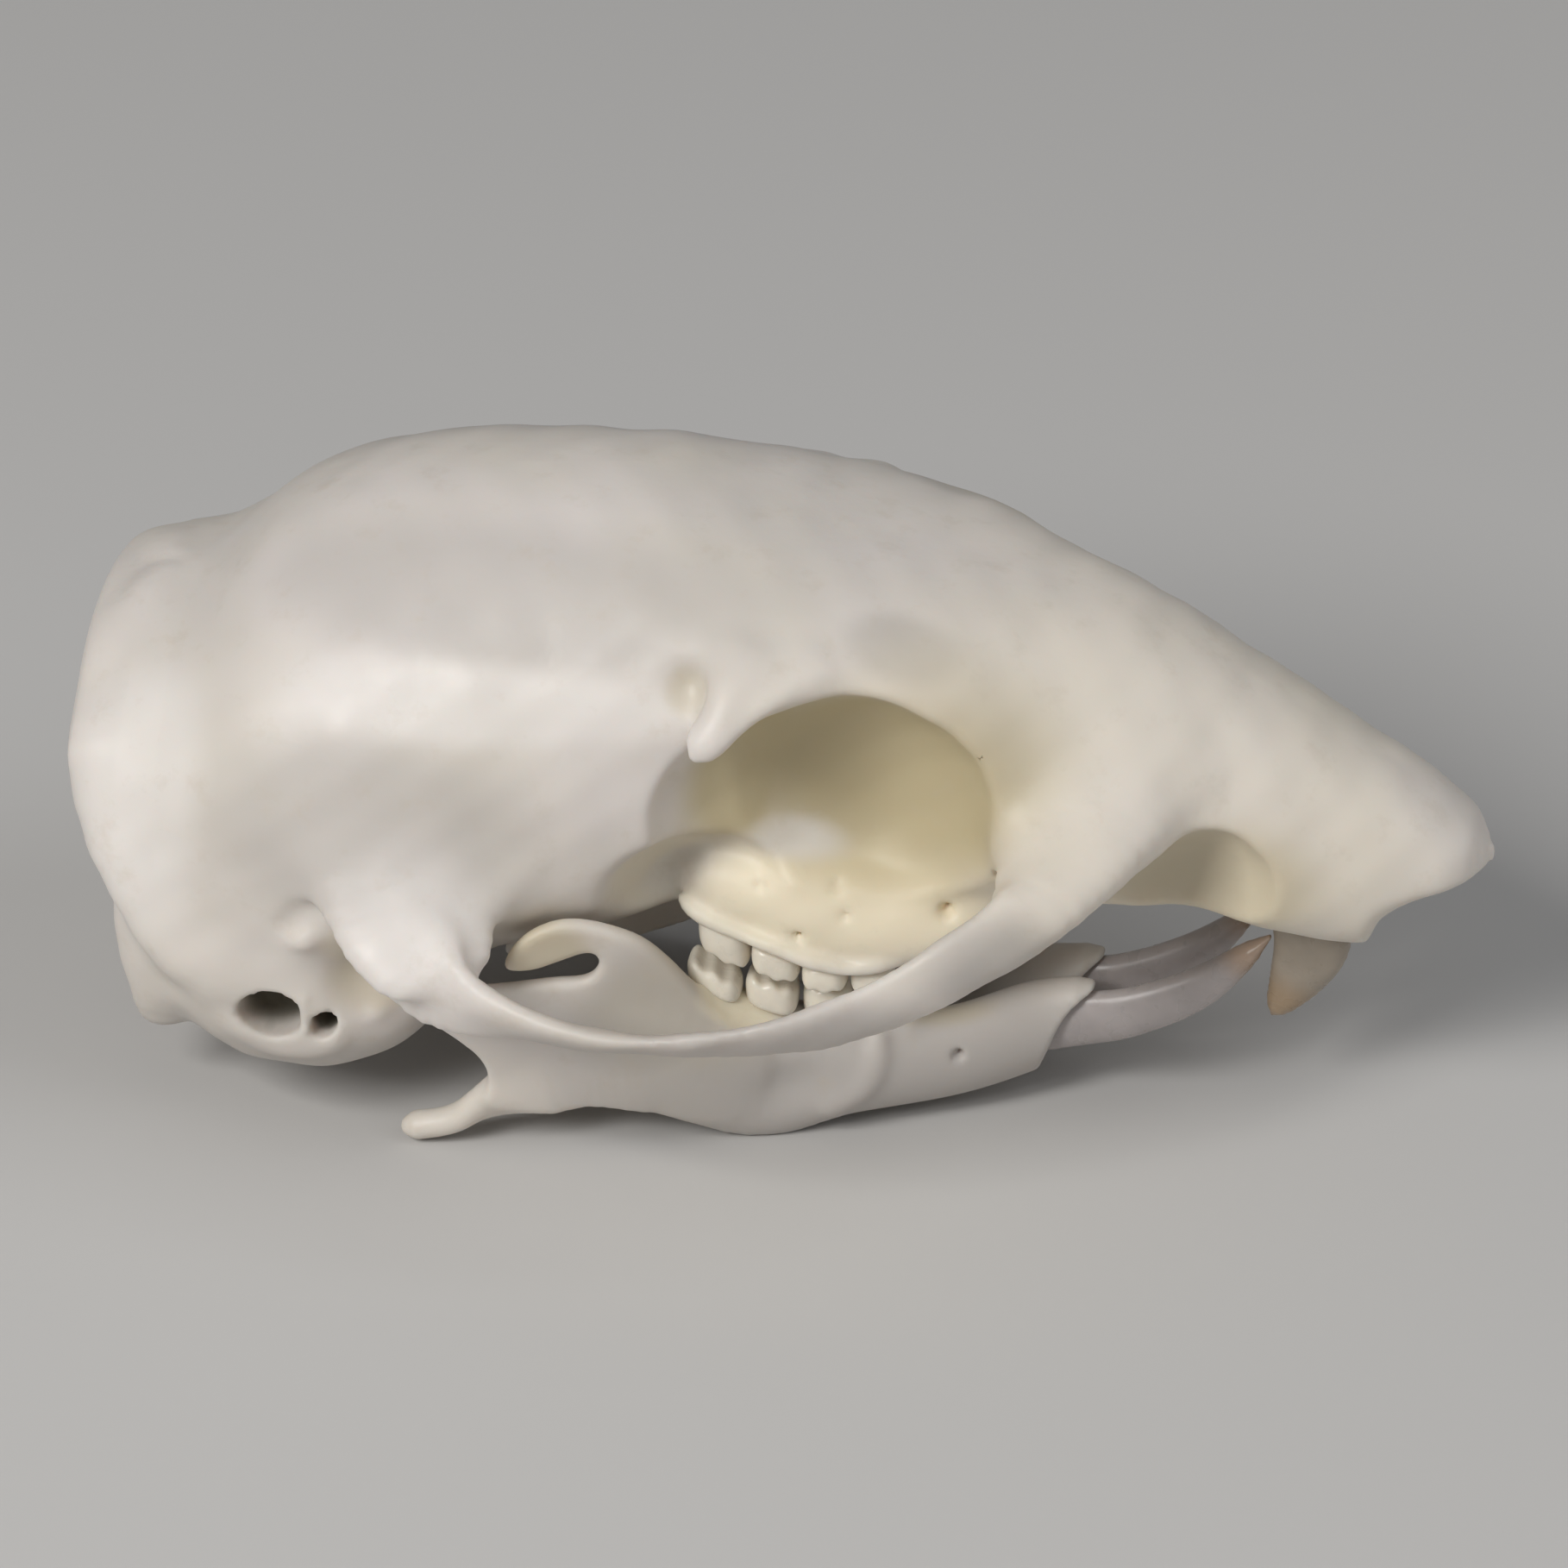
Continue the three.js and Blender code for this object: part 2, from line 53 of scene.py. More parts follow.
# Outline of the cranium. Each row is [x, value].
CROWN_HEIGHT = [
    [-20, 10.4], [-19.7, 12.2], [-19.2, 13.4], [-18, 13.95], [-16, 14.75], [-14, 16.5], [-12, 17.5],
    [-10, 18.1], [-7, 18.5], [-4, 18.55], [-1, 17.95], [2, 17.3], [5, 16.75], [8, 16.02], [10, 15.4],
    [13, 13.75], [16, 11.95], [18, 10.7], [19.3, 9.7], [20, 8.8],
]
BASE_HEIGHT = [
    [-20, 10.4], [-19.6, 9.6], [-19, 8.2], [-18, 5.6], [-16, 3.8], [-13, 4.2], [-8, 4.8], [-5, 5.4],
    [-2, 6.4], [2, 6.9], [6, 6.7], [9, 7.1], [12, 7.2], [14, 6.6], [16.6, 6.1], [17.1, 7.1], [18, 7.8],
    [19.2, 8.2], [20, 8.4],
]
HALF_WIDTH = [
    [-20, 0], [-19.7, 2.4], [-19.2, 4.3], [-18, 6.2], [-16, 7.6], [-14, 8.2], [-12, 8.4], [-10, 8.3],
    [-8, 8], [-5, 7.3], [-2, 6.6], [1, 6.3], [4, 6], [6, 5.8], [8, 5.2], [10, 4.7], [12, 4.2], [14, 3.8],
    [16, 3.2], [18, 2.5], [19.3, 1.7], [20, 0],
]
WIDEST_HEIGHT = [
    [-20, 10.4], [-16, 9.8], [-10, 10], [-5, 10.8], [-1, 13], [2, 13.8], [5, 13.2], [8, 11], [12, 9.6],
    [16, 8.6], [20, 8.6],
]
ROOF_SQUARENESS = [[-20, 2], [-6, 2.1], [1, 2.8], [5, 2.7], [9, 2.3], [20, 2.1]]
BASE_SQUARENESS = 2.4
# Where the steep rear end is evened out, over what length that fades, how often it is done, and how
# much the surface grows there, because evening out draws it in.
REAR_CALM_TO = -16.5
REAR_CALM_FADE = 1.2
REAR_CALM_ROUNDS = 6
REAR_CALM_GROWTH = 0.2
BRAINCASE_WALL = 1.3
BRAINCASE_FROM = -18.2
BRAINCASE_TO = -1.5

# Rounded hollows and lumps, each a place and its half sizes.
EYE_SOCKET = ([2.9, -8.6, 11], [4.9, 5.4, 4.9])
SOCKET_REAR = ([0.5, -8.2, 10.5], [3.6, 3.6, 4.6])
TEMPORAL_HOLLOW = ([-1, -8, 7.6], [3.4, 4.6, 3.2])
CHEEK_HOLLOW = ([12, -5.2, 8.9], [2.95, 2.65, 2.35])
EAR_CAPSULE = ([-12.8, -4.9, 5.15], [4.3, 3.1, 3.5])
OCCIPITAL_CONDYLE = ([-17.7, -1.9, 4.6], [1, 0.8, 1.5])
JAW_CONDYLE = ([-8.8, -8, 5.9], [1.1, 0.6, 0.55])

# Limbs are rows of [x, y, z, wide, thin, roll]: the half sizes of an oval section, and how many degrees
# its wide direction is turned up from level. A limb keeps its full section for most of its length, and
# rounds off towards its ends to the least share of it.
END_FULLNESS = 1.8
END_LEAST = 0.3
NASAL_CAVITY = [
    [21.2, 0, 5.6, 1.2, 0.9, 0], [19, 0, 7.5, 1.35, 1.1, 0], [17.6, 0, 8.35, 1.5, 1.15, 0],
    [16.5, 0, 9.05, 1.6, 1.25, 0], [10.5, 0, 10.8, 2, 1.9, 0],
]
SPINAL_CORD_HOLE = [[-21, 0, 6.3, 1.9, 1.9, 0], [-15, 0, 6.3, 1.9, 1.9, 0]]
FRONT_CHEEK_ROOT = [
    [9.4, -2.4, 11.6, 2.5, 1.7, 0], [9.2, -5, 11, 2, 1.2, 0], [8, -7.8, 9.8, 1.2, 0.85, 0],
]
REAR_CHEEK_ROOT = [
    [-9.2, -6.2, 9.8, 2.8, 1.3, 0], [-9, -8.4, 8.7, 2.4, 0.9, 0], [-7.8, -9.9, 7.4, 1.6, 0.6, 0],
]
CHEEKBONE = [
    [8.7, -7, 10.2, 1.3, 0.8, 80], [7.1, -8.6, 9.3, 1.1, 0.5, 75], [4.4, -10, 7.95, 0.95, 0.42, 70],
    [1.2, -11, 7.1, 0.95, 0.32, 50], [-2.6, -11.3, 6.8, 0.9, 0.3, 33], [-5.6, -10.8, 6.9, 0.95, 0.4, 50],
    [-8, -9.7, 7.2, 1.5, 0.5, 80], [-10, -8.3, 8.6, 1.5, 0.6, 85],
]
POSTORBITAL_PROCESS = [
    [1.6, -5.2, 15.7, 0.85, 0.55, 0], [0.3, -6.5, 15.1, 0.6, 0.38, 0], [-1.2, -7.5, 13.8, 0.3, 0.22, 0],
]
# The thin web that fills the corner between that process and the braincase.
PROCESS_WEB = [
    [-0.3, -5.5, 15.9, 0.6, 0.35, 0], [-0.6, -6.6, 15.3, 0.5, 0.35, 0],
    [-1.1, -7.4, 14.1, 0.25, 0.22, 0],
]
TOOTH_RIDGE = [
    [-1.9, -3.7, 7.95, 0.9, 0.95, 0], [0.6, -3.95, 7.5, 1.05, 1.25, 0], [2.9, -4, 7.1, 1.05, 1.35, 0],
    [4.8, -3.9, 7.2, 1.05, 1.15, 0], [6.2, -3.6, 7.6, 0.9, 0.9, 0],
]
# The sharp lower edge of that ridge, outside the teeth.
TOOTH_LIP = [
    [-2.3, -4.2, 7.4, 0.2, 0.2, 0], [-1.5, -4.65, 7.05, 0.24, 0.2, 0], [0.4, -4.95, 6.5, 0.24, 0.2, 0],
    [1.8, -5, 6.1, 0.24, 0.2, 0], [2.8, -4.9, 5.95, 0.24, 0.2, 0], [3.9, -4.6, 6.2, 0.2, 0.2, 0],
]
PTERYGOID_PLATE = [
    [-1.2, -1.9, 7.2, 1.2, 0.4, 90], [-3.6, -2, 6, 1.2, 0.35, 90], [-5.4, -2.2, 5.2, 1, 0.35, 90],
    [-7.4, -2.7, 4.2, 0.7, 0.35, 90],
]
PAROCCIPITAL_PROCESS = [
    [-16.9, -5.2, 7.6, 1, 0.9, 0], [-17.1, -5, 5, 0.95, 0.85, 0], [-17, -4.9, 2.5, 0.65, 0.6, 0],
]
JAW_BODY = [
    [-4.6, -5.9, 2.6, 1.4, 0.5, 90], [-2.4, -5, 3, 1.9, 0.75, 85], [0, -4.05, 1.9, 2.05, 1, 85],
    [2.2, -3.45, 1.9, 1.5, 1, 88], [5.2, -2.15, 1.95, 1.35, 0.95, 90], [7.6, -0.98, 2.45, 1.3, 0.88, 90],
    [9.8, -0.88, 3.2, 0.9, 0.7, 90],
]
JAW_ANGLE = [
    [-5.2, -6, 2.2, 1.1, 0.5, 80], [-7.2, -6.2, 1.5, 0.7, 0.45, 60], [-8.4, -6.35, 0.75, 0.45, 0.4, 0],
    [-9.7, -6.4, 0.42, 0.45, 0.42, 0],
]
JAW_TOOTH_RIDGE = [
    [4.3, -2.65, 2.9, 0.5, 0.45, 0], [3.1, -2.95, 3.15, 0.6, 0.48, 0], [1.8, -3.4, 3.25, 0.7, 0.48, 0],
    [0.3, -3.85, 3.55, 0.7, 0.48, 0], [-1.2, -4.3, 4.15, 0.65, 0.48, 0], [-2.2, -4.6, 4.65, 0.5, 0.45, 0],
]
# Side outline of the thin upright plate of the jaw, as [x, z].
JAW_PLATE = [
    [0.4, 2.2], [-0.8, 3.9], [-1.8, 5.6], [-2.3, 6.4], [-2.9, 7.15], [-3.6, 7.6], [-4.4, 7.95],
    [-5.1, 8.05], [-5.8, 7.8], [-6.3, 7.35], [-6.6, 6.8], [-6.6, 6.45], [-5.9, 6.35], [-5.1, 6.65],
    [-4.3, 6.95], [-4.05, 6.55], [-4.25, 6.1], [-4.6, 5.9], [-5.4, 5.95], [-7.2, 5.8], [-9, 6.1],
    [-9.1, 5.2], [-8, 4.1], [-7.3, 3.2], [-7.2, 2.3], [-7.3, 1.6], [-5.4, 1.3], [-3.4, 1.3], [-1, 1],
]
JAW_PLATE_THICKNESS = 0.6
# The ridge on the jaw's side, that ends the muscle's hollow.
JAW_RIDGE = [[3.35, -3.9, 3.1], [3.3, -4.05, 2.4], [2.9, -4.2, 1.6], [2.1, -4.3, 1]]
JAW_RIDGE_RADIUS = 0.36
JAW_RIDGE_HEIGHT = 0.2
# The shallow hollow behind that ridge, and the small hole in front of it.
JAW_HOLLOW = ([1.2, -4.6, 1.9], [1.4, 1, 0.8], 0.35, 20)
JAW_FORAMEN = ([5.4, -3, 2.3], [0.12, 0.6, 0.12], 0.5)
# Side outline of what is taken off the front of the jaw bone, as [x, z].
JAW_FRONT_CUT = [
    [9.5, 3.95], [8.9, 3.65], [8.35, 3.2], [8, 2.6], [7.75, 1.9], [7.4, 1], [7.4, -1], [12, -1],
    [12, 3.95],
]
# The plate leans: its Y at X = 0, Z = 0, and how that changes with X and with Z.
JAW_PLATE_PLACE = (-3.9, 0.33, -0.2)
MASTOID = [
    [-18.2, -4.6, 11.5, 1, 0.6, 0], [-17.3, -6, 9, 1.2, 0.8, 0], [-16, -6.9, 6.6, 1.1, 0.8, 0],
    [-14.6, -7, 5.6, 0.8, 0.6, 0],
]
LAMBDOID_CREST = [
    [-17.6, -0.6, 13.9, 0.3, 0.3, 0], [-18.3, -2.5, 13.1, 0.35, 0.3, 0], [-18.5, -4, 12, 0.35, 0.3, 0],
    [-17.9, -5.6, 10.3, 0.35, 0.3, 0], [-17, -6.6, 8.3, 0.35, 0.3, 0], [-16, -7.1, 6.4, 0.3, 0.3, 0],
]
# The ear: the opening, the raised ring under it, and the groove that arches over it.
EAR_OPENING = [[-13.2, -9.8, 4.45, 0.98, 0.78, 0], [-13.2, -6.3, 4.55, 0.98, 0.78, 0]]
EAR_RING = [
    [-14.4, -7.1, 4.9, 0.3, 0.3, 0], [-14.2, -7.2, 4, 0.3, 0.3, 0], [-13.4, -7.2, 3.4, 0.35, 0.3, 0],
    [-12.3, -7.3, 3.3, 0.3, 0.3, 0], [-11.4, -7.3, 3.7, 0.3, 0.3, 0],
]
EAR_GROOVE = [
    [-12.5, -8.1, 7.7], [-12.1, -8.2, 8.2], [-11.5, -8.3, 8.5], [-10.9, -8.3, 8.4], [-10.5, -8.3, 8],
    [-10.1, -8.3, 7.6], [-9.7, -8.2, 6.8],
]
EAR_REAR_OPENING = [[-11.75, -9.4, 4.1, 0.46, 0.4, 120], [-11.75, -6.4, 4.3, 0.46, 0.4, 120]]
EAR_STRUT = [
    [-12.2, -7.9, 5.2, 0.16, 0.16, 0], [-12.25, -7.6, 4.3, 0.16, 0.16, 0],
    [-12.3, -7.2, 3.5, 0.16, 0.16, 0],
]
# The dent in front of the ear and the two bumps beside it: a place, its half sizes, and how deep.
EAR_SHIFTS = [
    ([-10.4, -7.4, 5.9], [1.2, 1.6, 1], 0.9), ([-12.2, -8.2, 7.2], [0.5, 1, 0.4], -0.28),
    ([-10.2, -7.5, 4.6], [0.4, 0.9, 0.35], -0.2),
]
EAR_GROOVE_RADIUS = 0.42
EAR_GROOVE_DEPTH = 0.2
# Small holes in the eye socket and at its rim, each a place and a size.
SOCKET_PITS = [
    ([2.2, -3.4, 8.3], 0.16), ([0.1, -3.4, 8.2], 0.18), ([2.5, -4, 7.6], 0.12), ([1.2, -4.5, 6.9], 0.12),
    ([5.3, -4.4, 7.9], 0.18), ([7, -5, 9.7], 0.16), ([-1.65, -6.5, 15.2], 0.5),
]
PIT_DEPTH = 0.5
BONE_SWELL = 0.035
UPPER_INCISOR = [
    [13, -0.75, 9, 0.9, 0.52, 90], [14.6, -0.78, 7.4, 1.1, 0.55, 90], [15.05, -0.78, 5.9, 1.1, 0.55, 90],
    [14.68, -0.76, 4.6, 0.82, 0.52, 90], [13.97, -0.74, 3.25, 0.22, 0.45, 90],
]
LOWER_INCISOR = [
    [6.2, -1.15, 2.1, 0.85, 0.42, 90], [8.2, -0.98, 2.55, 0.85, 0.45, 90], [10, -0.9, 2.95, 0.75, 0.45, 90],
    [12, -0.86, 4, 0.6, 0.43, 90], [13.85, -0.84, 5.75, 0.2, 0.38, 90],
]
LEFT_LOWER_INCISOR_SET_BACK = 0.5

# Cheek teeth. Each row is [name, x, y, half length, half width, gum height, chewing height, slope].
UPPER_CHEEK_TEETH = [
    ["premolar", 3.15, -3.95, 0.58, 0.8, 5.75, 4.9, 0],
    ["first_molar", 1.86, -4.05, 0.65, 0.9, 5.8, 4.95, 0],
    ["second_molar", 0.48, -4.05, 0.69, 0.92, 6.15, 5.25, -0.25],
    ["third_molar", -1, -3.95, 0.73, 0.85, 6.75, 5.6, -0.5],
]
LOWER_CHEEK_TEETH = [
    ["premolar", 3.15, -2.95, 0.58, 0.6, 3.65, 4.65, 0],
    ["first_molar", 1.8, -3.4, 0.68, 0.72, 3.75, 4.75, 0],
    ["second_molar", 0.3, -3.85, 0.73, 0.76, 4.05, 5, -0.25],
    ["third_molar", -1.25, -4.3, 0.75, 0.75, 4.7, 5.45, -0.5],
]
ROOT_LENGTH = 1
ROOT_SHARE = 0.55
CUSP_RELIEF = 0.15
CROWN_SQUARENESS = 3.2

# The bone's tints, laid over each other in this order: a name, its strength and its colour. Thin is both
# the grey of thin bone and painted shade, olive and the ear hole tint are painted shade, and cream is both
# the bone's own tint and painted light.
BONE_TINTS = [
    ("thin", 0.8, (0.47, 0.44, 0.41)), ("pale", 0.8, (0.84, 0.80, 0.76)),
    ("cream_and_painted_light", 0.9, (0.86, 0.77, 0.58)), ("olive_painted_shade", 0.9, (0.52, 0.44, 0.26)),
    ("white", 0.9, (0.72, 0.68, 0.62)), ("ear_hole_painted_shade", 0.75, (0.09, 0.08, 0.045)),
]
# Where each tint lies. Each patch is a place, its half sizes, its strength, and how many degrees its
# first direction is turned from X towards Z.
CRANIUM_PATCHES = {
    # The grey of the thin braincase walls, and painted shade on the cheekbone and under the ear capsules.
    "thin": [
        ([-7, -4.5, 16.6], [7, 3, 1.6], 0.6, 0), ([-10.5, -8, 11], [4.5, 2.5, 2.6], 0.6, 0),
        ([4, -4.5, 16], [1.6, 1.2, 0.8], 0.7, -12), ([0.5, -11.1, 6.9], [7.5, 1.4, 1.3], 0.9, 5),
        ([8.5, -9.6, 8.6], [3.2, 1.8, 1.6], 0.7, -20), ([-13, -5, 2.5], [5, 4, 1.8], 0.7, 0),
    ],
    "pale": [
        ([-17, -6.5, 10.5], [2, 2.5, 4.5], 0.8, 0), ([-7, -7, 14.4], [6, 2.5, 1], 0.7, 0),
        ([-8.5, -9.4, 8], [2.2, 2.4, 2.4], 0.5, 0),
    ],
    "cream_and_painted_light": [
        # The bone's own cream tint over the snout and by the ear, and painted light on the lit floor of the
        # eye socket and in the shaded hollow behind the braincase's front bulge.
        ([2.5, -4.2, 7.8], [4.5, 2.2, 1.7], 1, 0), ([-10.8, -7.6, 7], [0.9, 1.2, 0.8], 0.5, 0),
        ([11, -3, 12], [8, 6, 6.5], 0.28, -25), ([-3.4, -4.4, 9], [2.1, 1.7, 1.9], 0.55, 0),
    ],
    "white": [
        ([0.5, -3.4, 9.5], [1.8, 1.3, 0.65], 1, -12), ([-2.4, -3.6, 8.2], [1.2, 1.4, 0.7], 0.8, 30),
    ],
    # Painted shade: olive shadow in the eye socket, in the pit behind the process, in the dent in front of
    # the ear and in the hollow under the snout.
    "olive_painted_shade": [
        ([3.7, -4.3, 12], [4.6, 2.7, 3.6], 1, 0), ([0, -5, 12], [1.9, 1.6, 3], 1, -15),
        ([-1.7, -6.5, 15.1], [0.6, 1, 0.7], 0.4, 0), ([-10.2, -7, 5.7], [1.4, 1.6, 1.1], 0.45, 0),
        ([12.4, -3.7, 8.9], [3, 1.7, 1.9], 0.6, 0),
    ],
}
# Painted shade, nearly black, inside the ear's opening and the opening behind it.
EAR_HOLE_SHADE_PATCHES = [([-13.2, -6, 4.5], [0.98, 2, 0.82], 1, 0), ([-11.75, -6.3, 4.2], [0.5, 1.2, 0.5], 1, 0)]
SOFT_EDGE = 0.35
SHARP_EDGE = 0.12
JAW_PATCHES = {
    # The grey of the thin upright plate, and painted shade over the whole jaw, which lies under the
    # cheekbone.
    "thin": [([-3, -5.6, 5], [2.8, 1.5, 2.8], 1, 0), ([2, -3, 2], [9, 4, 3], 1, 0)],
    "cream_and_painted_light": [([-0.9, -4.7, 4.5], [1.9, 0.9, 0.5], 0.9, -32)],
    # Painted shade: olive shadow on the tip of the upright plate, in the hollow at the front of the jaw,
    # and faintly over the plate's base.
    "olive_painted_shade": [
        ([-5.6, -7.2, 7.1], [1.3, 1, 1], 0.6, 0), ([5.1, -2.6, 3.6], [1.6, 1, 0.5], 0.45, 0),
        ([-1.5, -5.5, 5], [4.5, 1.6, 2.2], 0.22, 0),
    ],
}
TIP_PATCH_RADIUS = 1.4


def smooth_line(rows):
    """A smooth line through rows of [x, value]."""
    x = np.array([row[0] for row in rows], float)
    v = np.array([row[1] for row in rows], float)
    before = np.maximum(np.arange(len(x)) - 1, 0)
    after = np.minimum(np.arange(len(x)) + 1, len(x) - 1)
    slope = (v[after] - v[before]) / (x[after] - x[before])

    def value(at):
        at = np.clip(np.asarray(at, float), x[0], x[-1])
        i = np.clip(np.searchsorted(x, at, side="right") - 1, 0, len(x) - 2)
        span = x[i + 1] - x[i]
        t = (at - x[i]) / span
        start = slope[i] * span
        end = slope[i + 1] * span
        rise = v[i + 1] - v[i]
        return v[i] + t * (start + t * (3 * rise - 2 * start - end + t * (start + end - 2 * rise)))

    return value


def blend_min(a, b, k):
    """The smaller of two fields, rounded over a width k where they cross."""
    if k <= 0:
        return np.minimum(a, b)
    h = np.maximum(k - np.abs(a - b), 0) / k
    return np.minimum(a, b) - h * h * (k / 4)


def blend_max(a, b, k):
    return -blend_min(-a, -b, k)


class Solid:
    """A distance field on a grid from low to high, in mm."""

    def __init__(self, low, high, step):
        self.step = step
        self.first = [math.floor(v / step) for v in low]
        last = [math.ceil(v / step) for v in high]
        self.axes = [
            (np.arange(a, b + 1) * step).astype(np.float32) for a, b in zip(self.first, last)
        ]
        self.d = np.full([len(a) for a in self.axes], FAR, np.float32)

    def window(self, low, high):
        """The part of the grid between two corners, and its coordinates."""
        spans = []
        for axis, a, b in zip(self.axes, low, high):
            start = int(np.searchsorted(axis, a))
            spans.append(slice(start, max(int(np.searchsorted(axis, b)), start)))
        x, y, z = (axis[s] for axis, s in zip(self.axes, spans))
        return tuple(spans), (x[:, None, None], y[None, :, None], z[None, None, :])

    def whole(self):
        x, y, z = self.axes
        return x[:, None, None], y[None, :, None], z[None, None, :]

    def ball(self, at, radii, reach=1.2):
        """An oval ball."""
        at = np.array(at, np.float32)
        radii = np.array(radii, np.float32)
        spans, (x, y, z) = self.window(at - radii - reach, at + radii + reach)
        u, v, w = (x - at[0]) / radii[0], (y - at[1]) / radii[1], (z - at[2]) / radii[2]
        q = np.sqrt(u * u + v * v + w * w) + 1e-4
        grade = np.sqrt((u / radii[0]) ** 2 + (v / radii[1]) ** 2 + (w / radii[2]) ** 2)
        return spans, q * (q - 1) / (grade + 1e-4 / radii.min())

    def limb(self, rows, grow=0.0, reach=1.2, taper=True):
        """A swept limb of oval section along rows, with rounded ends."""
        c, wide, thin, forward, a, b = stations(rows, grow, taper)
        size = np.maximum(a, b)[:, None]
        spans, (x, y, z) = self.window((c - size).min(0) - reach, (c + size).max(0) + reach)
        field = np.full([len(x), y.shape[1], z.shape[2]], FAR, np.float32)
        xs, ys, zs = x[:, 0, 0], y[0, :, 0], z[0, 0, :]
        for i in range(len(c) - 1):
            edge = max(size[i, 0], size[i + 1, 0]) + reach
            low = np.minimum(c[i], c[i + 1]) - edge
            high = np.maximum(c[i], c[i + 1]) + edge
            sub = tuple(
                slice(int(np.searchsorted(s, lo)), int(np.searchsorted(s, hi)))
                for s, lo, hi in zip((xs, ys, zs), low, high)
            )
            px, py, pz = x[sub[0]], y[:, sub[1]], z[:, :, sub[2]]
            step = c[i + 1] - c[i]
            t = ((px - c[i][0]) * step[0] + (py - c[i][1]) * step[1] + (pz - c[i][2]) * step[2])
            t = np.clip(t / (step @ step), 0, 1)
            dx, dy, dz = (p - (o + t * s) for p, o, s in zip((px, py, pz), c[i], step))
            w = wide[i] + wide[i + 1]
            w /= np.linalg.norm(w)
            n = thin[i] + thin[i + 1]
            n /= np.linalg.norm(n)
            f = forward[i]
            ra = a[i] + (a[i + 1] - a[i]) * t
            rb = b[i] + (b[i + 1] - b[i]) * t
            rc = np.minimum(ra, rb)
            u = (dx * w[0] + dy * w[1] + dz * w[2]) / ra
            v = (dx * n[0] + dy * n[1] + dz * n[2]) / rb
            k = (dx * f[0] + dy * f[1] + dz * f[2]) / rc
            q = np.sqrt(u * u + v * v + k * k) + 1e-4
            grade = np.sqrt((u / ra) ** 2 + (v / rb) ** 2 + (k / rc) ** 2) + 1e-4 / rc
            field[sub] = np.minimum(field[sub], q * (q - 1) / grade)
        return spans, field

    def add(self, part, blend=0.4):
        spans, field = part
        self.d[spans] = blend_min(self.d[spans], field, blend)

    def cut(self, part, blend=0.2):
        spans, field = part
        self.d[spans] = blend_max(self.d[spans], -field, blend)

    def shift(self, at, radii, depth, turn=0.0):
        """Sinks the surface by depth in an oval patch, or raises it where depth is below 0. Turn is the
        angle of the patch's first radius from X towards Z, in degrees."""
        reach = 2.2 * max(radii)
        spans, (x, y, z) = self.window([v - reach for v in at], [v + reach for v in at])
        co, si = math.cos(math.radians(turn)), math.sin(math.radians(turn))
        dx, dz = x - at[0], z - at[2]
        u = (dx * co + dz * si) / radii[0]
        w = (dz * co - dx * si) / radii[2]
        v = (y - at[1]) / radii[1]
        self.d[spans] += depth * np.exp(-(u * u + v * v + w * w)).astype(np.float32)

    def crease(self, points, radius, depth):
        """Sinks or raises the surface along a line of points."""
        line = smooth_path(points)
        low = line.min(0) - 3 * radius
        high = line.max(0) + 3 * radius
        spans, (x, y, z) = self.window(low, high)
        near = np.full([len(x), y.shape[1], z.shape[2]], FAR * FAR, np.float32)
        for a, b in zip(line[:-1], line[1:]):
            step = b - a
            t = ((x - a[0]) * step[0] + (y - a[1]) * step[1] + (z - a[2]) * step[2]) / (step @ step)
            t = np.clip(t, 0, 1)
            away = sum((p - o - t * s) ** 2 for p, o, s in zip((x, y, z), a, step))
            near = np.minimum(near, away)
        self.d[spans] += depth * np.exp(-near / (radius * radius)).astype(np.float32)

    def mirror(self):
        """Adds the other side of a solid whose grid ends at Y = 0 or just past it."""
        zero = -self.first[1]
        half = self.d[:, : zero + 1]
        self.d = np.concatenate([half, half[:, -2::-1]], axis=1)
        self.axes[1] = np.concatenate([self.axes[1][: zero + 1], -self.axes[1][: zero][::-1]])


def smooth_path(points, per_span=6):
    points = np.array(points, float)
    s = np.linspace(0, len(points) - 1, per_span * (len(points) - 1) + 1)
    return np.stack([smooth_line(list(enumerate(points[:, k])))(s) for k in range(3)], axis=1)


def stations(rows, grow=0.0, taper=True, per_span=7):
    """Centres, directions and half sizes along a limb."""
    rows = np.array(rows, float)
    last = len(rows) - 1
    s = np.linspace(0, last, per_span * last + 1)
    x, y, z, wide, thin, roll = (smooth_line(list(enumerate(rows[:, k])))(s) for k in range(6))
    c = np.stack([x, y, z], axis=1)
    forward = np.gradient(c, axis=0)
    forward /= np.linalg.norm(forward, axis=1)[:, None]
    across = np.cross([0, 0, 1], c[-1] - c[0])
    across /= np.linalg.norm(across)
    level = across - forward * (forward @ across)[:, None]
    level /= np.linalg.norm(level, axis=1)[:, None]
    raised = np.cross(forward, level)
    angle = np.radians(roll)[:, None]
    share = s / last
    full = np.ones(len(s))
    if taper:
        full = np.minimum(1, np.sqrt(np.maximum(1 - (2 * share - 1) ** 2, 0)) * END_FULLNESS)
    full = np.maximum(full, END_LEAST)
    return (
        c.astype(np.float32),
        (level * np.cos(angle) + raised * np.sin(angle)).astype(np.float32),
        (raised * np.cos(angle) - level * np.sin(angle)).astype(np.float32),
        forward.astype(np.float32),
        ((wide + grow) * full).astype(np.float32),
        ((thin + grow) * full).astype(np.float32),
    )


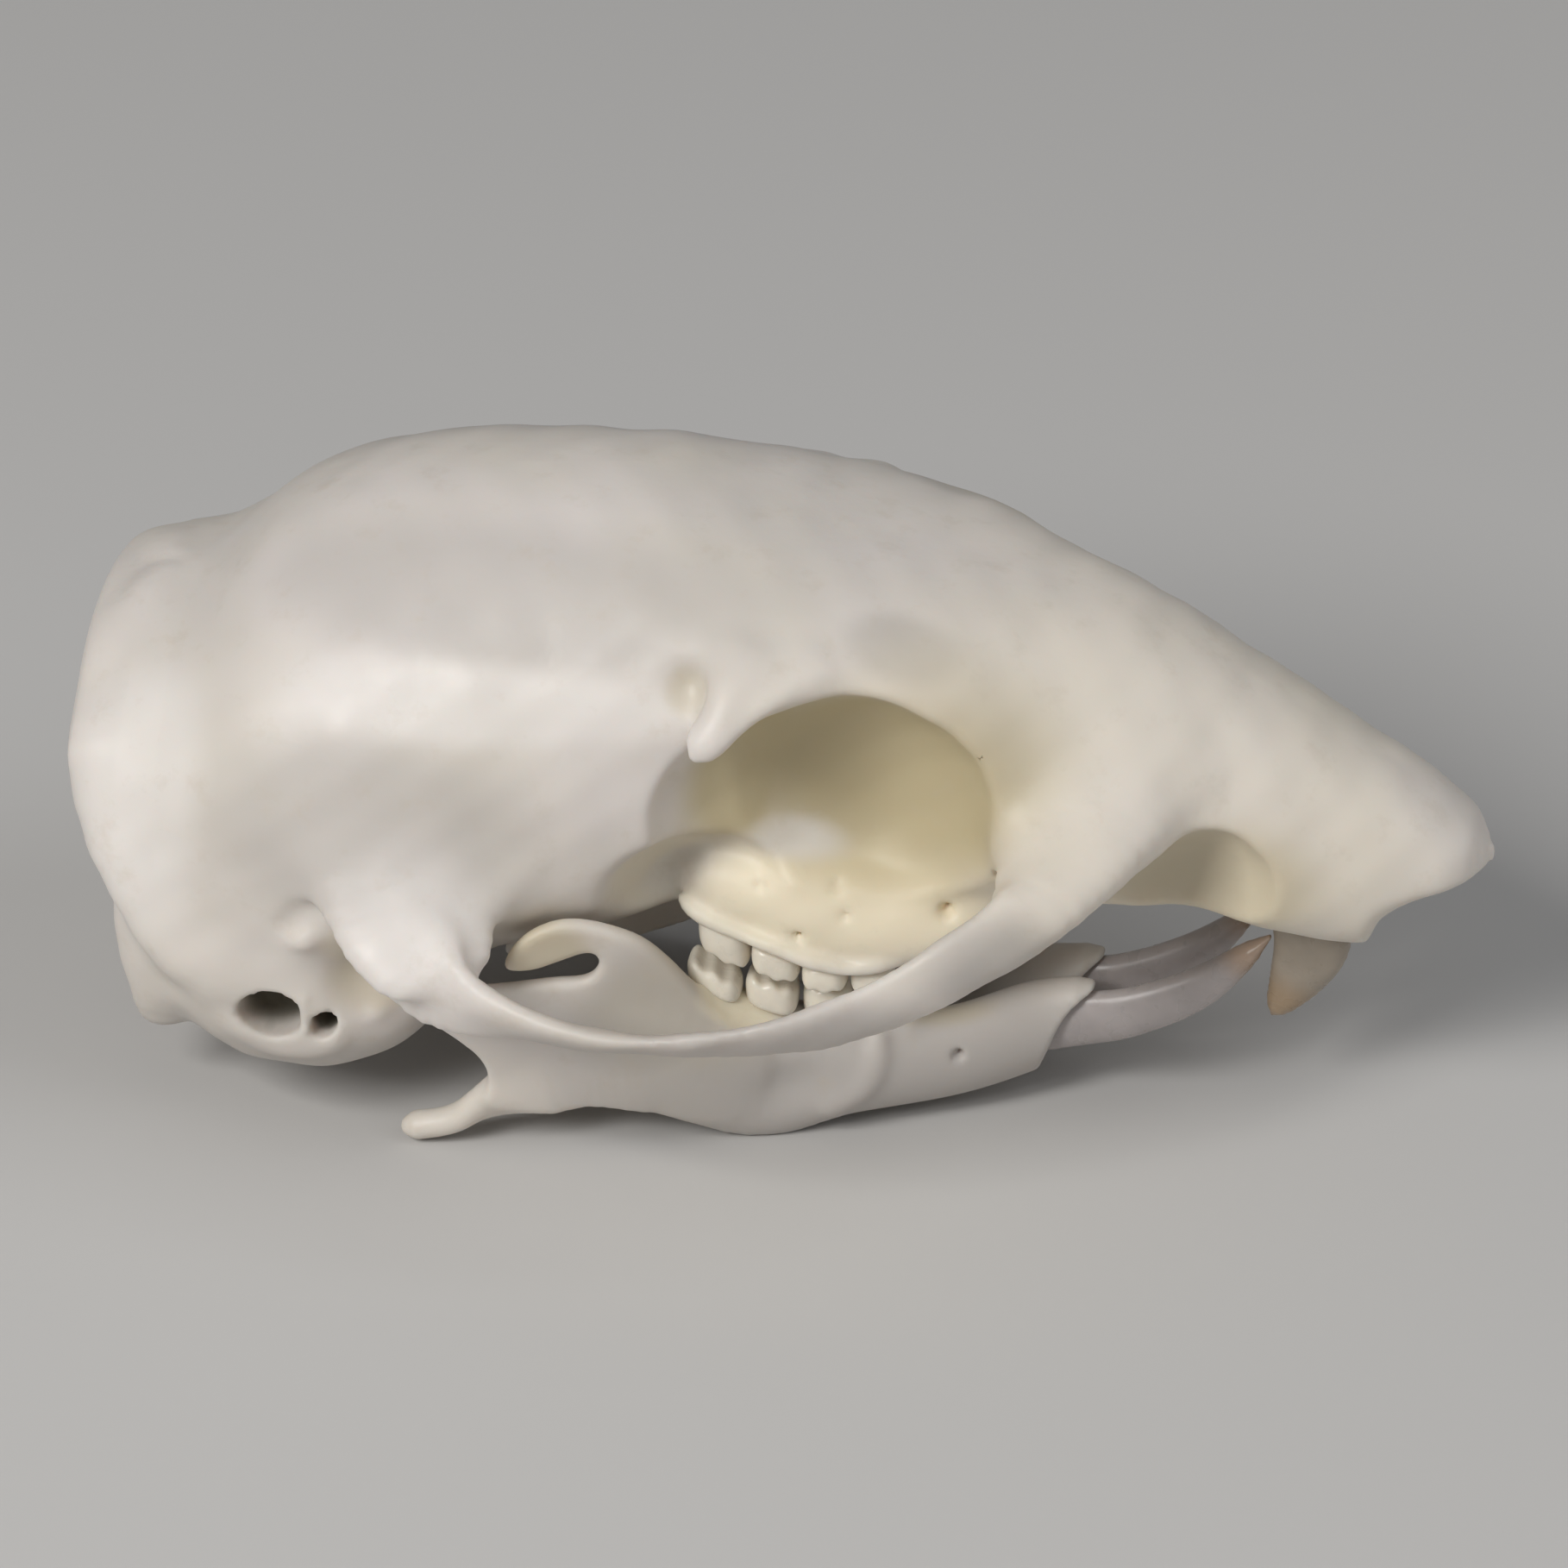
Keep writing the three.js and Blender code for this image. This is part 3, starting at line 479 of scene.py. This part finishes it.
def body_field(solid, start, end, wall, rounded):
    """The braincase, face and snout as one form of round sections, inside its outer face by wall."""
    x, y, z = solid.whole()
    xs = x[:, 0, 0]
    middle = smooth_line(WIDEST_HEIGHT)(xs)
    share = np.clip((xs - start) / (end - start), 0, 1)
    ends = np.sqrt(1 - (2 * share - 1) ** 2) if rounded else np.ones(len(xs))
    width = np.maximum((smooth_line(HALF_WIDTH)(xs) - wall) * ends, 0.05)
    up = np.maximum((smooth_line(CROWN_HEIGHT)(xs) - middle - wall) * ends, 0.05)
    down = np.maximum((middle - smooth_line(BASE_HEIGHT)(xs) - wall) * ends, 0.05)
    square = smooth_line(ROOF_SQUARENESS)(xs)
    width, up, down, middle, square = (
        v.astype(np.float32)[:, None, None] for v in (width, up, down, middle, square)
    )
    rise = z - middle
    n = np.where(rise > 0, square, np.float32(BASE_SQUARENESS))
    tall = np.abs(rise) / np.where(rise > 0, up, down)
    g = (np.abs(y / width) ** n + tall ** n) ** (1 / n)
    g = np.minimum(g, 3).astype(np.float32)
    grade = np.sqrt(sum(v * v for v in np.gradient(g, solid.step)))
    field = (g - 1) / np.maximum(grade, 0.02)
    beyond = np.maximum(start - x, x - end)
    return np.clip(np.maximum(field, beyond), -6, FAR).astype(np.float32)


def calm_rear(solid):
    """Evens out the field at the steep rear end of the cranium, where its slices show as rings."""
    count = int(np.searchsorted(solid.axes[0], REAR_CALM_TO))
    rear = solid.d[:count].copy()
    for _ in range(REAR_CALM_ROUNDS):
        for axis in range(3):
            view = np.moveaxis(rear, axis, 0)
            view[1:-1] = 0.25 * view[:-2] + 0.5 * view[1:-1] + 0.25 * view[2:]
    share = np.clip((REAR_CALM_TO - solid.axes[0][:count]) / REAR_CALM_FADE, 0, 1)[:, None, None]
    solid.d[:count] += share * (rear - REAR_CALM_GROWTH - solid.d[:count])


def skin(solid):
    """The surface where a solid's field is 0, as points and four-sided faces."""
    d = solid.d
    inside = d < 0
    count = np.zeros([n - 1 for n in d.shape], np.uint8)
    corners = [(i, j, k) for i in (0, 1) for j in (0, 1) for k in (0, 1)]
    nx, ny, nz = d.shape
    for i, j, k in corners:
        count += inside[i : nx - 1 + i, j : ny - 1 + j, k : nz - 1 + k]
    active = (count > 0) & (count < 8)
    cells = np.argwhere(active)
    index = np.full(active.shape, -1, np.int64)
    index[active] = np.arange(len(cells))
    values = {c: d[cells[:, 0] + c[0], cells[:, 1] + c[1], cells[:, 2] + c[2]] for c in corners}
    total = np.zeros((len(cells), 3))
    hits = np.zeros(len(cells))
    for a in corners:
        for axis in range(3):
            if a[axis] == 1:
                continue
            b = tuple(1 if n == axis else a[n] for n in range(3))
            crossing = (values[a] < 0) != (values[b] < 0)
            t = values[a] / np.where(crossing, values[a] - values[b], 1)
            point = np.repeat(np.array([a], float), len(cells), axis=0)
            point[:, axis] += t
            total += np.where(crossing[:, None], point, 0)
            hits += crossing
    low = np.array([axis[0] for axis in solid.axes], float)
    points = (cells + total / hits[:, None]) * solid.step + low
    faces = []
    for axis in range(3):
        b, c = (axis + 1) % 3, (axis + 2) % 3
        first = np.take(inside, range(d.shape[axis] - 1), axis=axis)
        second = np.take(inside, range(1, d.shape[axis]), axis=axis)
        edges = np.argwhere(first != second)
        edges = edges[(edges[:, b] > 0) & (edges[:, c] > 0)]
        edges = edges[(edges[:, b] < d.shape[b] - 1) & (edges[:, c] < d.shape[c] - 1)]
        leaving = first[tuple(edges.T)]
        ring = []
        for db, dc in ((1, 1), (0, 1), (0, 0), (1, 0)):
            cell = edges.copy()
            cell[:, b] -= db
            cell[:, c] -= dc
            ring.append(index[tuple(cell.T)])
        quad = np.stack(ring, axis=1)
        quad[~leaving] = quad[~leaving][:, ::-1]
        faces.append(quad)
    return points, np.concatenate(faces)


def field_at(solid, points):
    """The field and its slope at points, by straight-line interpolation."""
    low = np.array([axis[0] for axis in solid.axes], float)
    at = (points - low) / solid.step
    top = np.array(solid.d.shape) - 2
    cell = np.clip(np.floor(at).astype(int), 0, top)
    f = at - cell
    value = np.zeros(len(points))
    slope = np.zeros((len(points), 3))
    for i in (0, 1):
        for j in (0, 1):
            for k in (0, 1):
                v = solid.d[cell[:, 0] + i, cell[:, 1] + j, cell[:, 2] + k]
                wx, wy, wz = (f[:, n] if s else 1 - f[:, n] for n, s in enumerate((i, j, k)))
                value += v * wx * wy * wz
                slope[:, 0] += v * (1 if i else -1) * wy * wz
                slope[:, 1] += v * (1 if j else -1) * wx * wz
                slope[:, 2] += v * (1 if k else -1) * wx * wy
    return value, slope / solid.step


def relaxed(solid, points, faces, rounds=3):
    """Evens the points out along the surface, and puts each back on it."""
    a = faces.ravel()
    b = np.roll(faces, -1, axis=1).ravel()
    weight = np.bincount(a, minlength=len(points)) + np.bincount(b, minlength=len(points))
    for _ in range(rounds):
        pulled = np.zeros_like(points)
        for axis in range(3):
            pulled[:, axis] = np.bincount(a, points[b, axis], len(points))
            pulled[:, axis] += np.bincount(b, points[a, axis], len(points))
        points = 0.4 * points + 0.6 * pulled / weight[:, None]
        value, slope = field_at(solid, points)
        steep = np.maximum((slope * slope).sum(1), 0.1)
        move = -slope * (value / steep)[:, None]
        length = np.linalg.norm(move, axis=1)[:, None]
        points += move * np.minimum(1, 0.5 * solid.step / np.maximum(length, 1e-9))
    return points


def build(name, solid, most=None):
    """One mesh object for a solid, with smooth shading, and with at most so many triangles."""
    points, faces = skin(solid)
    points = relaxed(solid, points, faces)
    mesh = bpy.data.meshes.new(name)
    mesh.from_pydata((points * MM).tolist(), [], faces.tolist())
    mesh.validate()
    piece = bpy.data.objects.new(name, mesh)
    bpy.context.scene.collection.objects.link(piece)
    triangles = 2 * len(mesh.polygons)
    if most and triangles > most:
        thinner = piece.modifiers.new("thinner", "DECIMATE")
        thinner.ratio = most / triangles
        bpy.context.view_layer.update()
        done = bpy.data.meshes.new_from_object(
            piece.evaluated_get(bpy.context.evaluated_depsgraph_get())
        )
        piece.modifiers.clear()
        piece.data = done
        done.name = name
        bpy.data.meshes.remove(mesh)
        mesh = done
    mesh.shade_smooth()
    return piece


def places(piece):
    """A piece's points in mm, both sides brought to the right one."""
    co = np.zeros(len(piece.data.vertices) * 3, np.float32)
    piece.data.vertices.foreach_get("co", co)
    co = co.reshape(-1, 3) / MM
    co[:, 1] = -np.abs(co[:, 1])
    return co


def paint(piece, name, patches, edge=SOFT_EDGE):
    """A named share per point: 1 in the middle of each oval patch, fading to 0 at its edge. A patch is
    (at, radii, strength, turn)."""
    co = places(piece)
    share = np.zeros(len(co))
    for at, radii, strength, turn in patches:
        co_t, si_t = math.cos(math.radians(turn)), math.sin(math.radians(turn))
        dx, dz = co[:, 0] - at[0], co[:, 2] - at[2]
        u = (dx * co_t + dz * si_t) / radii[0]
        w = (dz * co_t - dx * si_t) / radii[2]
        v = (co[:, 1] - at[1]) / radii[1]
        q = np.sqrt(u * u + v * v + w * w)
        t = np.clip((1 + edge - q) / (2 * edge), 0, 1)
        share = np.maximum(share, strength * t * t * (3 - 2 * t))
    layer = piece.data.attributes.new(name, "FLOAT", "POINT")
    layer.data.foreach_set("value", share.astype(np.float32))


def uneven(solid, height):
    """Slow, low swells over a whole surface, as grown bone has."""
    x, y, z = solid.whole()
    swell = np.sin(1.3 * x + 0.9 * z + 0.7) * np.cos(1.1 * z - 0.8 * x + 0.6 * y)
    swell = swell + 0.6 * np.sin(2.9 * x - 1.7 * z + 1.1 * y) * np.cos(2.3 * z + 0.9 * y + 0.4)
    return (height * swell).astype(np.float32)


def cranium():
    solid = Solid([-20.6, -12.6, 1], [20.6, 0.4, 19.2], CRANIUM_STEP)
    solid.d = body_field(solid, -20, 20, 0, False)
    calm_rear(solid)
    # eye socket, the hollow behind it, and the hollow under the snout
    solid.cut(solid.ball(*EYE_SOCKET), 0.25)
    solid.cut(solid.ball(*SOCKET_REAR), 0.15)
    solid.cut(solid.ball(*TEMPORAL_HOLLOW), 0.3)
    solid.cut(solid.ball(*CHEEK_HOLLOW), 0.2)
    solid.add(solid.limb(FRONT_CHEEK_ROOT), 1.6)
    solid.add(solid.limb(REAR_CHEEK_ROOT), 1.3)
    solid.add(solid.limb(CHEEKBONE), 0.7)
    solid.add(solid.limb(POSTORBITAL_PROCESS), 0.7)
    solid.add(solid.limb(PROCESS_WEB), 0.9)
    solid.add(solid.limb(TOOTH_RIDGE), 0.7)
    solid.add(solid.limb(TOOTH_LIP), 0.35)
    solid.add(solid.limb(PTERYGOID_PLATE), 0.5)
    solid.add(solid.limb(PAROCCIPITAL_PROCESS), 0.8)
    solid.add(solid.ball(*EAR_CAPSULE), 1.6)
    solid.add(solid.limb(MASTOID), 1.4)
    solid.add(solid.limb(LAMBDOID_CREST), 0.9)
    solid.add(solid.ball(*OCCIPITAL_CONDYLE), 0.5)
    # hollow braincase, the hole for the spinal cord, and the open nose
    inner = body_field(solid, BRAINCASE_FROM, BRAINCASE_TO, BRAINCASE_WALL, True)
    solid.d = blend_max(solid.d, -inner, 0.2)
    solid.cut(solid.limb(SPINAL_CORD_HOLE, taper=False), 0.4)
    solid.cut(solid.limb(NASAL_CAVITY), 0.2)
    # the ear's opening with the strut behind it, and the groove that arches over it
    solid.add(solid.limb(EAR_RING), 0.5)
    solid.cut(solid.limb(EAR_OPENING, taper=False), 0.1)
    solid.cut(solid.limb(EAR_REAR_OPENING, taper=False), 0.08)
    solid.add(solid.limb(EAR_STRUT, taper=False), 0.1)
    for at, radii, depth in EAR_SHIFTS:
        solid.shift(at, radii, depth)
    solid.crease(EAR_GROOVE, EAR_GROOVE_RADIUS, EAR_GROOVE_DEPTH)
    # small holes of the eye socket's floor and rear wall, and the pit behind the process
    for at, size in SOCKET_PITS:
        solid.shift(at, [size, 1, size], PIT_DEPTH)
    solid.d += uneven(solid, BONE_SWELL)
    solid.mirror()
    return solid


def root(solid, tooth, way):
    """The one root of a cheek tooth, up into its crown."""
    _, x, y, half_length, half_width, gum, _, _ = tooth
    bottom, top = sorted([gum + way * 0.2, gum - way * ROOT_LENGTH])
    return block(solid, (x, y), (half_length * ROOT_SHARE, half_width * ROOT_SHARE), bottom, top)


def block(solid, at, half, bottom, top, rounding=0.2):
    """An upright block with rounded edges."""
    low = [at[0] - half[0] - 1, at[1] - half[1] - 1, bottom - 1]
    high = [at[0] + half[0] + 1, at[1] + half[1] + 1, top + 1]
    spans, (x, y, z) = solid.window(low, high)
    field = blend_max(np.abs(x - at[0]) - half[0], np.abs(y - at[1]) - half[1], rounding)
    field = blend_max(field + 0 * z, np.maximum(bottom - z, z - top) + 0 * field, rounding)
    return spans, field.astype(np.float32)


def side_outline(solid, corners):
    """How far each place on the grid is from an outline in X and Z, whatever its Y. Its corners are
    rounded."""
    ring = np.array(corners, float)
    for _ in range(2):
        after = np.roll(ring, -1, axis=0)
        ring = np.stack([0.75 * ring + 0.25 * after, 0.25 * ring + 0.75 * after], axis=1).reshape(-1, 2)
    x, y, z = solid.whole()
    gx, gz = x[:, :, 0], z[0]
    near = np.full((len(gx), gz.shape[1]), FAR * FAR)
    odd = np.zeros(near.shape, bool)
    for a, b in zip(ring, np.roll(ring, -1, axis=0)):
        step = b - a
        t = np.clip(((gx - a[0]) * step[0] + (gz - a[1]) * step[1]) / (step @ step), 0, 1)
        near = np.minimum(near, (gx - a[0] - t * step[0]) ** 2 + (gz - a[1] - t * step[1]) ** 2)
        if a[1] != b[1]:
            odd ^= ((a[1] > gz) != (b[1] > gz)) & (gx < (b[0] - a[0]) * (gz - a[1]) / (b[1] - a[1]) + a[0])
    return np.where(odd, -np.sqrt(near), np.sqrt(near))[:, None, :]


def plate(solid):
    """The thin leaning plate of the jaw, with rounded edges."""
    outline = side_outline(solid, JAW_PLATE)
    x, y, z = solid.whole()
    at, per_x, per_z = JAW_PLATE_PLACE
    lean = math.sqrt(1 + per_x ** 2 + per_z ** 2)
    face = np.abs(y - (at + per_x * x + per_z * z)) / lean - JAW_PLATE_THICKNESS / 2
    return (slice(None),) * 3, blend_max(outline + 0 * face, face, 0.3).astype(np.float32)


def dentary():
    solid = Solid([-10.6, -9, -0.3], [10.8, 0.3, 8.3], JAW_STEP)
    solid.add(solid.limb(JAW_BODY), 0)
    solid.add(plate(solid), 0.9)
    solid.add(solid.limb(JAW_ANGLE), 0.6)
    solid.add(solid.limb(JAW_TOOTH_RIDGE), 0.35)
    solid.add(solid.ball(*JAW_CONDYLE), 0.5)
    x, y, z = solid.whole()
    solid.d = blend_max(solid.d, -z + 0 * solid.d, 0.05)
    solid.d = blend_max(solid.d, 0 * solid.d - side_outline(solid, JAW_FRONT_CUT), 0.15)
    solid.crease(JAW_RIDGE, JAW_RIDGE_RADIUS, -JAW_RIDGE_HEIGHT)
    solid.shift(*JAW_HOLLOW)
    solid.shift(*JAW_FORAMEN)
    return solid


def moved(rows, along):
    return [[row[0] + along] + row[1:] for row in rows]


def incisor(rows):
    c = np.array(rows)[:, :3]
    solid = Solid(c.min(0) - 1.4, c.max(0) + 1.4, TOOTH_STEP)
    solid.add(solid.limb(rows), 0)
    return solid


def cheek_tooth(tooth, way):
    """A crown with cusps and cross ridges on its chewing face, and its root. Way is 1 where that face
    looks up."""
    _, x0, y0, half_length, half_width, gum, chewing, slope = tooth
    low, high = sorted([gum - way * (ROOT_LENGTH + 0.2), chewing + way * 0.3])
    lean = abs(slope) * half_length
    solid = Solid(
        [x0 - half_length - 0.2, y0 - half_width - 0.2, low - lean - 0.2],
        [x0 + half_length + 0.2, y0 + half_width + 0.2, high + lean + 0.2],
        TOOTH_STEP,
    )
    x, y, z = solid.whole()
    u = (x - x0) / half_length
    v = (y - y0) / half_width
    rise = (z - slope * (x - x0) - gum) * way
    height = abs(chewing - gum)
    swell = 1 - 0.12 * ((rise / height - 0.45) * 1.6) ** 2
    n = CROWN_SQUARENESS
    side = ((np.abs(u) ** n + np.abs(v) ** n) ** (1 / n) - swell) * min(half_length, half_width)
    ridges = 0.5 + 0.5 * np.cos(2 * math.pi * (u * 1.35 + 0.15 * v))
    outer = np.clip(-v, 0, 1) ** 2 + 0.7 * np.clip(v, 0, 1) ** 2
    height_share = np.clip(0.45 * ridges + 0.75 * outer * (0.4 + 0.6 * ridges), 0, 1)
    relief = CUSP_RELIEF * (1 - height_share)
    face = rise - (height - relief)
    crown = blend_max(side, face, 0.22)
    crown = blend_max(crown, -rise - 0.05, 0.25)
    solid.d = np.minimum(crown, FAR).astype(np.float32)
    solid.add(root(solid, tooth, way), 0.2)
    return solid


def flipped(solid):
    """The same solid on the other side."""
    solid.d = solid.d[:, ::-1]
    solid.axes[1] = -solid.axes[1][::-1]
    return solid


def on_side(solid, side):
    return flipped(solid) if side == "left" else solid


# The mix node has sockets for each kind of value. These are the share and the two colours, and the
# mixed colour.
COLOR_MIX_SOCKETS = (0, 6, 7)
COLOR_MIX_RESULT = 2
BONE_BASE = ((0.70, 0.65, 0.58), (0.73, 0.68, 0.64))
BONE_STAIN = (0.55, 0.47, 0.36)
ENAMEL_SHADE = 0.86


class Finish:
    """A material made of nodes, with the few calls that its makers share."""

    def __init__(self, name):
        self.material = bpy.data.materials.new(name)
        self.material.use_nodes = True
        self.tree = self.material.node_tree
        self.shader = self.tree.nodes["Principled BSDF"]
        self.place = self.tree.nodes.new("ShaderNodeTexCoord").outputs["Object"]

    def node(self, kind, **values):
        node = self.tree.nodes.new(kind)
        for key, value in values.items():
            if hasattr(node, key):
                setattr(node, key, value)
            else:
                node.inputs[key.replace("_", " ")].default_value = value
        return node

    def noise(self, scale, detail=3.0, roughness=0.5):
        node = self.node("ShaderNodeTexNoise", Scale=scale, Detail=detail, Roughness=roughness)
        self.tree.links.new(self.place, node.inputs["Vector"])
        return node.outputs["Fac"]

    def spread(self, value, low, high, to_low=0.0, to_high=1.0):
        node = self.node("ShaderNodeMapRange")
        self.tree.links.new(value, node.inputs["Value"])
        for key, number in zip(("From Min", "From Max", "To Min", "To Max"), (low, high, to_low, to_high)):
            node.inputs[key].default_value = number
        return node.outputs["Result"]

    def share(self, name):
        return self.node("ShaderNodeAttribute", attribute_name=name).outputs["Fac"]

    def times(self, a, b):
        node = self.node("ShaderNodeMath", operation="MULTIPLY")
        for socket, value in zip(node.inputs, (a, b)):
            if isinstance(value, (int, float)):
                socket.default_value = value
            else:
                self.tree.links.new(value, socket)
        return node.outputs[0]

    def mix(self, share, a, b):
        node = self.node("ShaderNodeMix", data_type="RGBA")
        for number, value in zip(COLOR_MIX_SOCKETS, (share, a, b)):
            socket = node.inputs[number]
            if isinstance(value, bpy.types.NodeSocket):
                self.tree.links.new(value, socket)
            else:
                socket.default_value = (*value, 1) if isinstance(value, tuple) else value
        return node.outputs[COLOR_MIX_RESULT]

    def bump(self, value, strength, distance, under=None):
        node = self.node("ShaderNodeBump", Strength=strength, Distance=distance)
        self.tree.links.new(value, node.inputs["Height"])
        if under is not None:
            self.tree.links.new(under, node.inputs["Normal"])
        return node.outputs["Normal"]

    def finish(self, color, rough, normal, glow, radius, depth):
        self.tree.links.new(color, self.shader.inputs["Base Color"])
        self.tree.links.new(rough, self.shader.inputs["Roughness"])
        self.tree.links.new(normal, self.shader.inputs["Normal"])
        self.shader.inputs["Subsurface Weight"].default_value = glow
        self.shader.inputs["Subsurface Radius"].default_value = radius
        self.shader.inputs["Subsurface Scale"].default_value = depth
        self.shader.inputs["IOR"].default_value = 1.5
        return self.material


def bone():
    look = Finish("bone")
    color = look.mix(look.spread(look.noise(160, 2), 0.35, 0.65), *BONE_BASE)
    for name, strength, tint in BONE_TINTS:
        color = look.mix(look.times(look.share(name), strength), color, tint)
    stain = look.spread(look.noise(900, 5, 0.65), 0.56, 0.72, 0, 0.22)
    color = look.mix(stain, color, BONE_STAIN)
    rough = look.spread(look.noise(700, 3), 0.3, 0.7, 0.42, 0.58)
    normal = look.bump(look.noise(2200, 4), 0.12, 0.00006)
    normal = look.bump(look.noise(500, 2), 0.2, 0.00008, normal)
    return look.finish(color, rough, normal, 0.25, (1.0, 0.6, 0.4), 0.0011)


def enamel(name, body, tip, tip_share):
    look = Finish(name)
    shade = tuple(v * ENAMEL_SHADE for v in body)
    color = look.mix(look.spread(look.noise(1100, 3), 0.35, 0.7), body, shade)
    color = look.mix(look.times(look.share("tip"), tip_share), color, tip)
    rough = look.spread(look.noise(1500, 3), 0.3, 0.7, 0.22, 0.4)
    normal = look.bump(look.noise(2600, 3), 0.1, 0.00002)
    return look.finish(color, rough, normal, 0.3, (1.0, 0.7, 0.5), 0.0007)


def dress(piece, node, material):
    """Gives a piece its material, and puts it in the place of a CAD node."""
    piece.data.materials.clear()
    piece.data.materials.append(material)
    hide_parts(node)
    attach(piece, "root")


BONE_LOOK = bone()
# Both incisor colours are darkened as painted shade, the upper one most, on top of their own tints: tan
# enamel above, lavender-white below.
INCISOR_LOOKS = {
    "upper": enamel("upper incisor enamel", (0.36, 0.31, 0.25), (0.36, 0.24, 0.13), 0.6),
    "lower": enamel("lower incisor enamel", (0.47, 0.43, 0.42), (0.44, 0.29, 0.17), 0.6),
}
CHEEK_TOOTH_LOOK = enamel("cheek tooth enamel", (0.80, 0.74, 0.63), (0.70, 0.58, 0.40), 0.5)

skull = build("cranium_bone", cranium(), CRANIUM_TRIANGLES)
for name, patches in CRANIUM_PATCHES.items():
    paint(skull, name, patches)
paint(skull, "ear_hole_painted_shade", EAR_HOLE_SHADE_PATCHES, SHARP_EDGE)
dress(skull, "cranium", BONE_LOOK)


for side in ("right", "left"):
    jaw = build(f"{side}_dentary_bone", on_side(dentary(), side), JAW_TRIANGLES)
    for name, patches in JAW_PATCHES.items():
        paint(jaw, name, patches)
    dress(jaw, f"{side}_dentary", BONE_LOOK)
    for level, rows in (("upper", UPPER_INCISOR), ("lower", LOWER_INCISOR)):
        set_back = LEFT_LOWER_INCISOR_SET_BACK if (side, level) == ("left", "lower") else 0
        tooth = build(f"{side}_{level}_incisor_tooth", on_side(incisor(moved(rows, -set_back)), side))
        paint(tooth, "tip", [(rows[-1][:3], [TIP_PATCH_RADIUS] * 3, 1, 0)])
        dress(tooth, f"{side}_{level}_incisor", INCISOR_LOOKS[level])
    for level, table, way in (("upper", UPPER_CHEEK_TEETH, -1), ("lower", LOWER_CHEEK_TEETH, 1)):
        for row in table:
            tooth = build(f"{side}_{level}_{row[0]}_tooth", on_side(cheek_tooth(row, way), side))
            paint(tooth, "tip", [])
            dress(tooth, f"{side}_{level}_{row[0]}", CHEEK_TOOTH_LOOK)

# floor, light and camera, in metres
FLOOR_HALF = 0.6
floor_corners = [(x * FLOOR_HALF, y * FLOOR_HALF, 0) for x, y in ((-1, -1), (1, -1), (1, 1), (-1, 1))]
floor_mesh = bpy.data.meshes.new("floor")
floor_mesh.from_pydata(floor_corners, [], [(0, 1, 2, 3)])
floor = bpy.data.objects.new("floor", floor_mesh)
bpy.context.scene.collection.objects.link(floor)
ground = bpy.data.materials.new("floor")
ground.use_nodes = True
ground_shader = ground.node_tree.nodes["Principled BSDF"]
ground_shader.inputs["Base Color"].default_value = (0.6, 0.59, 0.575, 1)
ground_shader.inputs["Roughness"].default_value = 0.8
floor_mesh.materials.append(ground)

world = bpy.data.worlds.new("studio")
world.use_nodes = True
background = world.node_tree.nodes["Background"]
background.inputs["Color"].default_value = (0.95, 0.97, 1, 1)
background.inputs["Strength"].default_value = 0.17
bpy.context.scene.world = world


def lamp(name, at, size, power, color, aim=(0, 0, 0.009)):
    light = bpy.data.lights.new(name, "AREA")
    light.size = size
    light.energy = power
    light.color = color
    lamp_object = bpy.data.objects.new(name, light)
    lamp_object.location = at
    toward = [a - b for a, b in zip(at, aim)]
    lamp_object.rotation_euler = mathutils.Vector(toward).to_track_quat("Z", "Y").to_euler()
    bpy.context.scene.collection.objects.link(lamp_object)


lamp("key", (-0.14, -0.26, 0.24), 0.14, 0.95, (1, 0.985, 0.965))
lamp("fill", (0.26, -0.06, 0.26), 0.3, 0.36, (0.97, 0.98, 1))

AZIMUTH = math.radians(10)
ELEVATION = math.radians(30)
DISTANCE = 0.35
FRAME_WIDTH = 0.04392
SENSOR_WIDTH = 36
CENTRE = mathutils.Vector((-0.00005, -0.00009, 0.00886))
outward = mathutils.Vector((
    math.sin(AZIMUTH) * math.cos(ELEVATION), -math.cos(AZIMUTH) * math.cos(ELEVATION), math.sin(ELEVATION)
))
camera_data = bpy.data.cameras.new("camera")
camera_data.sensor_width = SENSOR_WIDTH
camera_data.lens = SENSOR_WIDTH * DISTANCE / FRAME_WIDTH
camera_data.clip_start = 0.01
camera = bpy.data.objects.new("camera", camera_data)
camera.location = CENTRE + outward * DISTANCE
camera.rotation_euler = outward.to_track_quat("Z", "Y").to_euler()
bpy.context.scene.collection.objects.link(camera)
bpy.context.scene.camera = camera
bpy.context.scene.view_settings.view_transform = "Standard"
